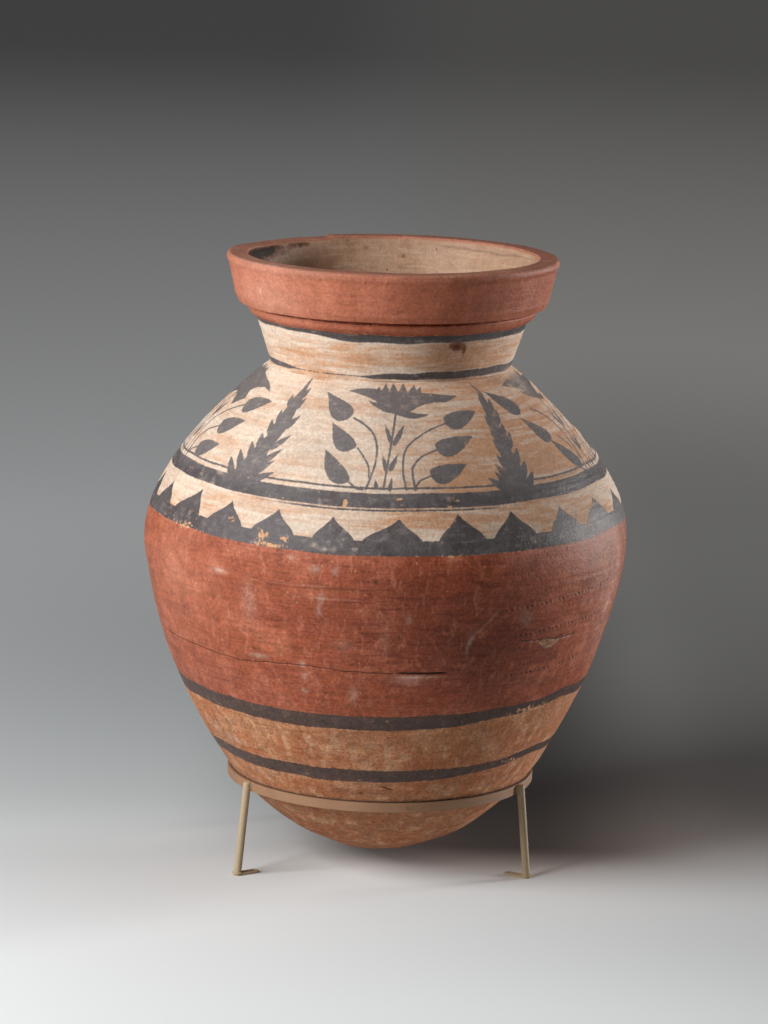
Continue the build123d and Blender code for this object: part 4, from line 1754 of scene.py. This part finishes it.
    def _cover(self, section: JarSection) -> Array:
        """Works out how far each point of a section is from the three coats.

        Args:
            section: the section.

        Returns:
            The signed distances to the black paint, the red slip and the cream slip.
        """
        brush, bearing, drop = self.brush, section.bearing, section.drop
        if section.name in THROWN:
            painted = section.name == "neck"
            black = brush.paint_neck(bearing, section.height) if painted else np.full(bearing.shape, FAR)
            above = section.height - self.root - self.red_foot
            return np.stack((black, -above, above), -1)
        red_foot = self.wall.drop_at(sum(brush.lower_bands[0]) / 2.0) - sum(brush.lower_rises(bearing)) / 2.0
        red_top = brush.red_top + brush.tilt(bearing)
        red = np.maximum(red_top - self.slip_lap - drop, drop - red_foot)
        return np.stack((brush.paint_wall(bearing, drop), red, drop - red_top - self.slip_lap), -1)

    def _inside(self, section: JarSection) -> Array:
        """Gives which points of a section are on the unslipped inside, 0 to 1.

        Args:
            section: the section.

        Returns:
            The share at each point.
        """
        inside, height = section.inner + 0.0 * section.bearing, section.height
        if section.name != "rim_collar":
            return inside
        edge, top = self.rim_radius - self.rim_width + self.mouth_reach, self.rim_top
        mouth = np.clip((edge - section.radius) / self.mouth_blend, 0.0, 1.0) * (height > top - self.mouth_limit)
        return np.maximum(inside, mouth * eased(top - self.mouth_blend, top - self.mouth_bare, height))

    def _relief(self, section: JarSection) -> tuple[Array, Array, Array]:
        """Works out the hand-made relief of a section.

        Args:
            section: the section.

        Returns:
            How far each point moves out, how dark its crevice is as grime and painted shade, and how much pale dust
            and painted highlight lies on a cord's ridges.
        """
        bearing, height, outer, inner = section.bearing, section.height, section.outer, section.inner
        low, low_full, high_full, high = self.seat_band
        seat = 1.0 - self.seat_hold * eased(low, low_full, height) * eased(high, high_full, height)
        thrown = self.thrown_share if section.name in THROWN else 1.0
        swell = np.clip(self.lumps.at(bearing, section.drop) * self.lump_height, *self.lump_limits) * thrown
        rills = self.fingers.at(bearing, section.drop) * self.rill_height
        bulge = sum(place.at(bearing, height, section.radius) for place in self.bulges) * seat
        lift = ((swell + rills) * seat + bulge) * outer + inner * (self.inner_lumps * swell + bulge)
        crevice, ridge_dust_and_highlight = np.zeros(bearing.shape), np.zeros(bearing.shape)
        if section.name in ("lower_wall", "belly_wall", "base_bowl"):
            for crack in self.wear.cracks:
                share = crack.at(bearing, height, self.jags) * outer
                lift -= share * crack.depth
                crevice = np.maximum(crevice, eased(*crack.shadow, share) * min(1.0, crack.depth * crack.dark))
            for cord in self.wear.cords:
                share, rope = cord.at(bearing, height, self.wall.radius_at(cord.start[1]))
                lift += (cord.rise * rope - cord.depth * share) * outer
                crevice = np.maximum(crevice, cord.dark * eased(*cord.shadow, share) * outer)
                ridge_dust_and_highlight = np.maximum(ridge_dust_and_highlight, cord.dust * rope * eased(cord.ridge_dust_and_highlight_edge, 0.0, share) * outer)
            lift -= self.wear.flake_depth * self._flaked(section)
        if section.name == "rim_collar":
            share = self.wear.inner_crack.at(bearing, height, self.jags) * inner
            lift -= share * self.wear.inner_crack.depth
            crevice = np.maximum(crevice, share * self.wear.inner_dark)
        return lift, crevice, ridge_dust_and_highlight

    def _scratched(self, section: JarSection) -> Array:
        """Gives how far each point of a section is in one of the pale scratches or rubs, 0 to 1.

        Args:
            section: the section.

        Returns:
            The share at each point.
        """
        total, wear = np.zeros(section.bearing.shape), self.wear
        if section.name not in ("lower_wall", "belly_wall"):
            return total
        for strokes, (soft, strength) in ((wear.scratches, wear.scratch_look), (wear.rubs, wear.rub_look)):
            marks = PaintField(self.wall, section.bearing, section.drop)
            for mark in strokes:
                marks.stroke(0.0, self.wall.flat(mark.places), mark.widths)
            total = np.maximum(total, strength * eased(soft, -soft, marks.distance))
        return total * section.outer

    def _flaked(self, section: JarSection) -> Array:
        """Gives how far each point of a section is in the flaked place on the belly, 0 to 1.

        Args:
            section: the section.

        Returns:
            The share at each point.
        """
        if section.name != "belly_wall":
            return np.zeros(section.bearing.shape)
        place = PaintField(self.wall, section.bearing, section.drop)
        place.outline(0.0, self.wall.flat(self.wear.flake))
        return eased(self.wear.flake_edge, -self.wear.flake_edge, place.distance) * section.outer

    def _worn_edges(self, section: JarSection) -> Array:
        """Gives how worn the slip is along the edges of the collar and the ridge, 0 to 1.

        Args:
            section: the section.

        Returns:
            The wear at each point.
        """
        ridge, lip = self.seams["neck"] - self.ridge_height + self.ridge_rise, self.rim_top - self.lip_height
        edges = {
            "neck": ((ridge, *self.ridge_wear),),
            "rim_collar": ((lip - 1.0, *self.lip_wear), (self.seams["neck"] + 1.0, *self.foot_wear),
                           (self.rim_top - 1.0, *self.rim_wear)),
        }
        worn = np.zeros(section.height.shape)
        for level, reach, strength in edges.get(section.name, ()):
            worn += strength * np.exp(-((section.height - level) / reach) ** 2)
        return worn

    def _rim_wear(self, section: JarSection) -> Array:
        """Gives how far the rim is worn down along its back left stretch.

        Args:
            section: the section.

        Returns:
            How far each point moves down.
        """
        if section.name != "rim_collar":
            return np.zeros(section.bearing.shape)
        first, first_full, last_full, last = self.worn_rim
        stretch = eased(first, first_full, section.bearing) * eased(last, last_full, section.bearing)
        return self.worn_depth * stretch * eased(self.rim_top - self.worn_below, self.rim_top - 1.0, section.height)


@dataclass
class RingStand:
    """The ring stand: a felt-lined hoop on three welded rod legs with screw feet."""

    body: str = "stand"
    legs: tuple[tuple[str, float], ...] = (("left", 210.0), ("right", 330.0), ("rear", 90.0))
    liner_thickness: float = 2.0
    liner_proud: float = 1.5
    seat_clearance: float = 0.3
    bar_thickness: float = 3.0
    rod_radius: float = 5.0
    rod_notch: float = 1.5
    bead: float = 1.5
    bead_sides: int = 10
    bead_steps: int = 17
    bead_ripple: float = 0.16
    bead_ends: tuple[float, float] = (1.0, 0.6)
    bead_sink: float = 0.1
    bead_aside: float = 0.5
    ring_steps: int = 48
    ring_aside: float = 0.3
    ring_lift: float = 0.2
    foot_slice: float = 0.5
    felt_levels: int = 9
    felt_columns: int = 600
    felt_ripple: float = 0.25
    sharp: float = 50.0
    hoop_paint: SteelPaint = SteelPaint(
        "hoop_paint", screen(163, 124, 94), screen(148, 108, 81), screen(134, 98, 72))
    leg_paint: SteelPaint = SteelPaint(
        "leg_paint", screen(192, 172, 140), screen(176, 155, 124), screen(150, 130, 100))

    def __post_init__(self) -> None:
        """Reads the hoop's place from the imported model."""
        low, high = corner_box("stand_ring")
        self.hoop_radius, self.hoop_low, self.hoop_high = high.x, low.z, high.z

    def build(self, wall: Wall) -> list[bpy.types.Object]:
        """Dresses the hoop, the legs and the feet, and builds the felt and the welds.

        Args:
            wall: the jar's wall, which the felt follows.

        Returns:
            The new pieces.
        """
        hoop, leg = self.hoop_paint.material(), self.leg_paint.material()
        for name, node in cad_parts.items():
            if name == "stand_ring" or name.startswith(("leg_", "foot_")):
                node.data.materials.clear()
                node.data.materials.append(hoop if name == "stand_ring" else leg)
        return [self._felt(wall), *(self._welds(name, bearing, leg) for name, bearing in self.legs)]

    def _felt(self, wall: Wall) -> bpy.types.Object:
        """Builds the felt strip inside the hoop.

        Args:
            wall: the jar's wall.

        Returns:
            The strip.
        """
        outside = self.hoop_radius - self.bar_thickness
        top = self.hoop_high + self.liner_proud
        heights = np.linspace(self.hoop_low, top, self.felt_levels)
        liner = outside - self.liner_thickness
        inside = [max(liner, wall.radius_at(level) + self.seat_clearance) for level in heights]
        section = [(outside, level) for level in heights] + list(zip(inside[::-1], heights[::-1]))
        columns = self.felt_columns
        points, faces = [], []
        fuzz = Waves(seed=31, turns=(20, 140), lengths=(40.0, 90.0), count=12)
        ripple = fuzz.at(np.arange(columns) * 360.0 / columns, np.zeros(columns))
        for column in range(columns):
            turn = 2.0 * pi * column / columns
            for radius, level in section:
                proud = eased(self.hoop_high, top, level)
                level += self.felt_ripple * float(ripple[column]) * float(proud)
                points.append((radius * cos(turn) * MM, radius * sin(turn) * MM, level * MM))
        size = len(section)
        for column in range(columns):
            here, there = column * size, (column + 1) % columns * size
            for k in range(size):
                n = (k + 1) % size
                faces.append((here + k, there + k, there + n, here + n))
        felt = self._piece("felt_liner", points, faces, FeltFinish().material())
        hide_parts("ring_liner")
        return felt

    def _piece(self, name: str, points: list, faces: list, material: bpy.types.Material) -> bpy.types.Object:
        """Makes a smooth piece that rides on the stand.

        Args:
            name: the piece's name.
            points: its points in metres.
            faces: its faces.
            material: its finish.

        Returns:
            The piece.
        """
        mesh = bpy.data.meshes.new(name)
        mesh.from_pydata(points, [], faces)
        mesh.shade_smooth()
        mesh.set_sharp_from_angle(angle=radians(self.sharp))
        mesh.materials.append(material)
        piece = bpy.data.objects.new(name, mesh)
        bpy.context.scene.collection.objects.link(piece)
        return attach(piece, self.body)

    def _bead(self, line: Array, closed: bool, points: list, faces: list) -> None:
        """Adds one rippled weld bead along a line.

        Args:
            line: the points that it follows, in millimetres.
            closed: whether it comes back to its start.
            points, faces: the mesh lists that take it.
        """
        sides, first = self.bead_sides, len(points)
        ways = np.roll(line, -1, axis=0) - np.roll(line, 1, axis=0) if closed else np.gradient(line, axis=0)
        for number, (place, way) in enumerate(zip(line, ways)):
            way = Vector(way).normalized()
            aside = Vector((0.0, 0.0, 1.0)) if closed else way.orthogonal()
            over = way.cross(aside).normalized()
            share = number / (len(line) - 1)
            taper = 1.0 if closed else sqrt(max(0.02, 1.0 - (2.0 * share - 1.0) ** 4))
            ripple = self.bead_ripple * (cos(number * pi / 2.0) - 0.5)
            radius = self.bead * taper * (1.0 + ripple)
            for side in range(sides):
                turn = 2.0 * pi * side / sides
                points.append(tuple((Vector(place) + radius * (aside * cos(turn) + over * sin(turn))) * MM))
        count = len(line)
        for ring in range(count if closed else count - 1):
            here, there = first + ring * sides, first + (ring + 1) % count * sides
            for side in range(sides):
                n = (side + 1) % sides
                faces.append((here + side, here + n, there + n, there + side))
        if not closed:
            faces.append(tuple(first + side for side in reversed(range(sides))))
            faces.append(tuple(first + (count - 1) * sides + side for side in range(sides)))

    def _welds(self, name: str, bearing: float, material: bpy.types.Material) -> bpy.types.Object:
        """Builds the beads at one leg's hoop and foot.

        Args:
            name: which leg.
            bearing: its direction from +X, in degrees.
            material: the legs' finish.

        Returns:
            The beads as one piece.
        """
        out = np.array((cos(radians(bearing)), sin(radians(bearing)), 0.0))
        aside = np.array((-out[1], out[0], 0.0))
        half = sqrt(self.rod_radius ** 2 - (self.rod_radius - self.rod_notch) ** 2)
        points: list = []
        faces: list = []
        for side in (-1.0, 1.0):
            ends = (self.hoop_low + self.bead_ends[0], self.hoop_high - self.bead_ends[1])
            levels = np.linspace(*ends, self.bead_steps)
            base = out * (self.hoop_radius - self.bead_sink) + aside * side * (half + self.bead_aside)
            self._bead(base + np.array((0.0, 0.0, 1.0)) * levels[:, None], False, points, faces)
        reach = self._leg_foot(name, out)
        turns = np.linspace(0.0, 2.0 * pi, self.ring_steps, endpoint=False)[:, None]
        ring = reach * out + (self.rod_radius + self.ring_aside) * (np.cos(turns) * out + np.sin(turns) * aside)
        ring[:, 2] = corner_box(f"leg_{name}")[0].z + self.ring_lift
        self._bead(ring, True, points, faces)
        piece = self._piece(f"leg_weld_{name}", points, faces, material)
        return piece

    def _leg_foot(self, name: str, out: Array) -> float:
        """Gives how far from the axis a leg meets its foot.

        Args:
            name: which leg.
            out: the leg's direction from the axis.

        Returns:
            The distance in millimetres.
        """
        points = np.array([vertex.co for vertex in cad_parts[f"leg_{name}"].data.vertices]) / MM
        lowest = points[points[:, 2] < points[:, 2].min() + self.foot_slice]
        reaches = lowest @ out
        return float((reaches.min() + reaches.max()) / 2.0)


@dataclass(frozen=True)
class Lamp:
    """A square soft light: where it stands from the jar, how far, how wide, how strong and how narrow its beam is."""

    name: str
    bearing: float
    elevation: float
    distance: float
    width: float
    height: float
    power: float
    tint: tuple[float, float, float] = (1.0, 1.0, 1.0)
    spread: float = 180.0
    aim: float = 0.45


@dataclass
class Studio:
    """The floor, the lights and the camera."""

    floor_radius: float = 32.0
    lamps: tuple[Lamp, ...] = (
        Lamp("key_light", -54.5, 26.0, 3.0, 1.8, 1.3, 106.0, (1.0, 0.993, 0.98)),
        Lamp("side_light", 113.0, 6.5, 4.6, 1.0, 1.4, 6.6, (1.0, 0.99, 0.98), 28.0, 0.55),
    )
    sky: Colour = (0.026, 0.026, 0.028, 1.0)
    camera_place: tuple[float, float, float] = (-0.0034, -4.887, 1.4085)
    camera_dip: float = 11.012
    camera_roll: float = 1.5
    lens: float = 135.2
    camera_range: float = 200.0
    floor_sides: int = 96

    def build(self) -> None:
        """Sets the floor, the lights, the world and the camera up."""
        bpy.context.scene.view_settings.view_transform = "Standard"
        self._floor()
        for lamp in self.lamps:
            self._light(lamp)
        world = bpy.data.worlds.new("studio_world")
        world.use_nodes = True
        nodes = Nodes(world.node_tree)
        sky = nodes.make("ShaderNodeBackground", None, {"Color": self.sky, "Strength": 1.0})
        nodes.make("ShaderNodeOutputWorld", None, {"Surface": sky.outputs[0]})
        bpy.context.scene.world = world
        self._camera()

    def _floor(self) -> None:
        """Lays the round floor."""
        points, faces = [(0.0, 0.0, 0.0)], []
        count = self.floor_sides
        for number in range(count):
            turn = 2.0 * pi * number / count
            points.append((self.floor_radius * cos(turn), self.floor_radius * sin(turn), 0.0))
            faces.append((0, number + 1, (number + 1) % count + 1))
        mesh = bpy.data.meshes.new("studio_floor")
        mesh.from_pydata(points, [], faces)
        mesh.materials.append(FloorFinish().material())
        floor = bpy.data.objects.new("studio_floor", mesh)
        floor.rotation_euler.z = radians(FRONT)
        bpy.context.scene.collection.objects.link(floor)

    def _light(self, lamp: Lamp) -> None:
        """Hangs one light, aimed at the jar.

        Args:
            lamp: the light.
        """
        data = bpy.data.lights.new(lamp.name, "AREA")
        data.shape = "RECTANGLE"
        data.size, data.size_y, data.energy, data.color = lamp.width, lamp.height, lamp.power, lamp.tint
        data.spread = radians(lamp.spread)
        bearing, rise = radians(lamp.bearing + FRONT), radians(lamp.elevation)
        way = Vector((sin(bearing) * cos(rise), -cos(bearing) * cos(rise), sin(rise)))
        light = bpy.data.objects.new(lamp.name, data)
        light.location = Vector((0.0, 0.0, lamp.aim)) + way * lamp.distance
        light.rotation_euler = (-way).to_track_quat("-Z", "Y").to_euler()
        bpy.context.scene.collection.objects.link(light)

    def _camera(self) -> None:
        """Sets the camera up at the photograph's place."""
        data = bpy.data.cameras.new("camera")
        data.lens = self.lens
        data.clip_end = self.camera_range
        camera = bpy.data.objects.new("camera", data)
        dip = Matrix.Rotation(radians(90.0 - self.camera_dip), 4, "X")
        turn = dip @ Matrix.Rotation(radians(self.camera_roll), 4, "Z")
        camera.matrix_world = Matrix.Rotation(radians(FRONT), 4, "Z") @ Matrix.Translation(self.camera_place) @ turn
        bpy.context.scene.collection.objects.link(camera)
        bpy.context.scene.camera = camera


def main() -> None:
    """Builds the studio, the stand and the jar, and reports each piece."""
    logging.basicConfig(level=logging.INFO, format="%(message)s")
    Studio().build()
    jar = Jar()
    for piece in (*RingStand().build(jar.wall), *jar.build()):
        LOG.info("%s: %d faces", piece.name, len(piece.data.polygons))


if __name__ == "__main__":
    main()
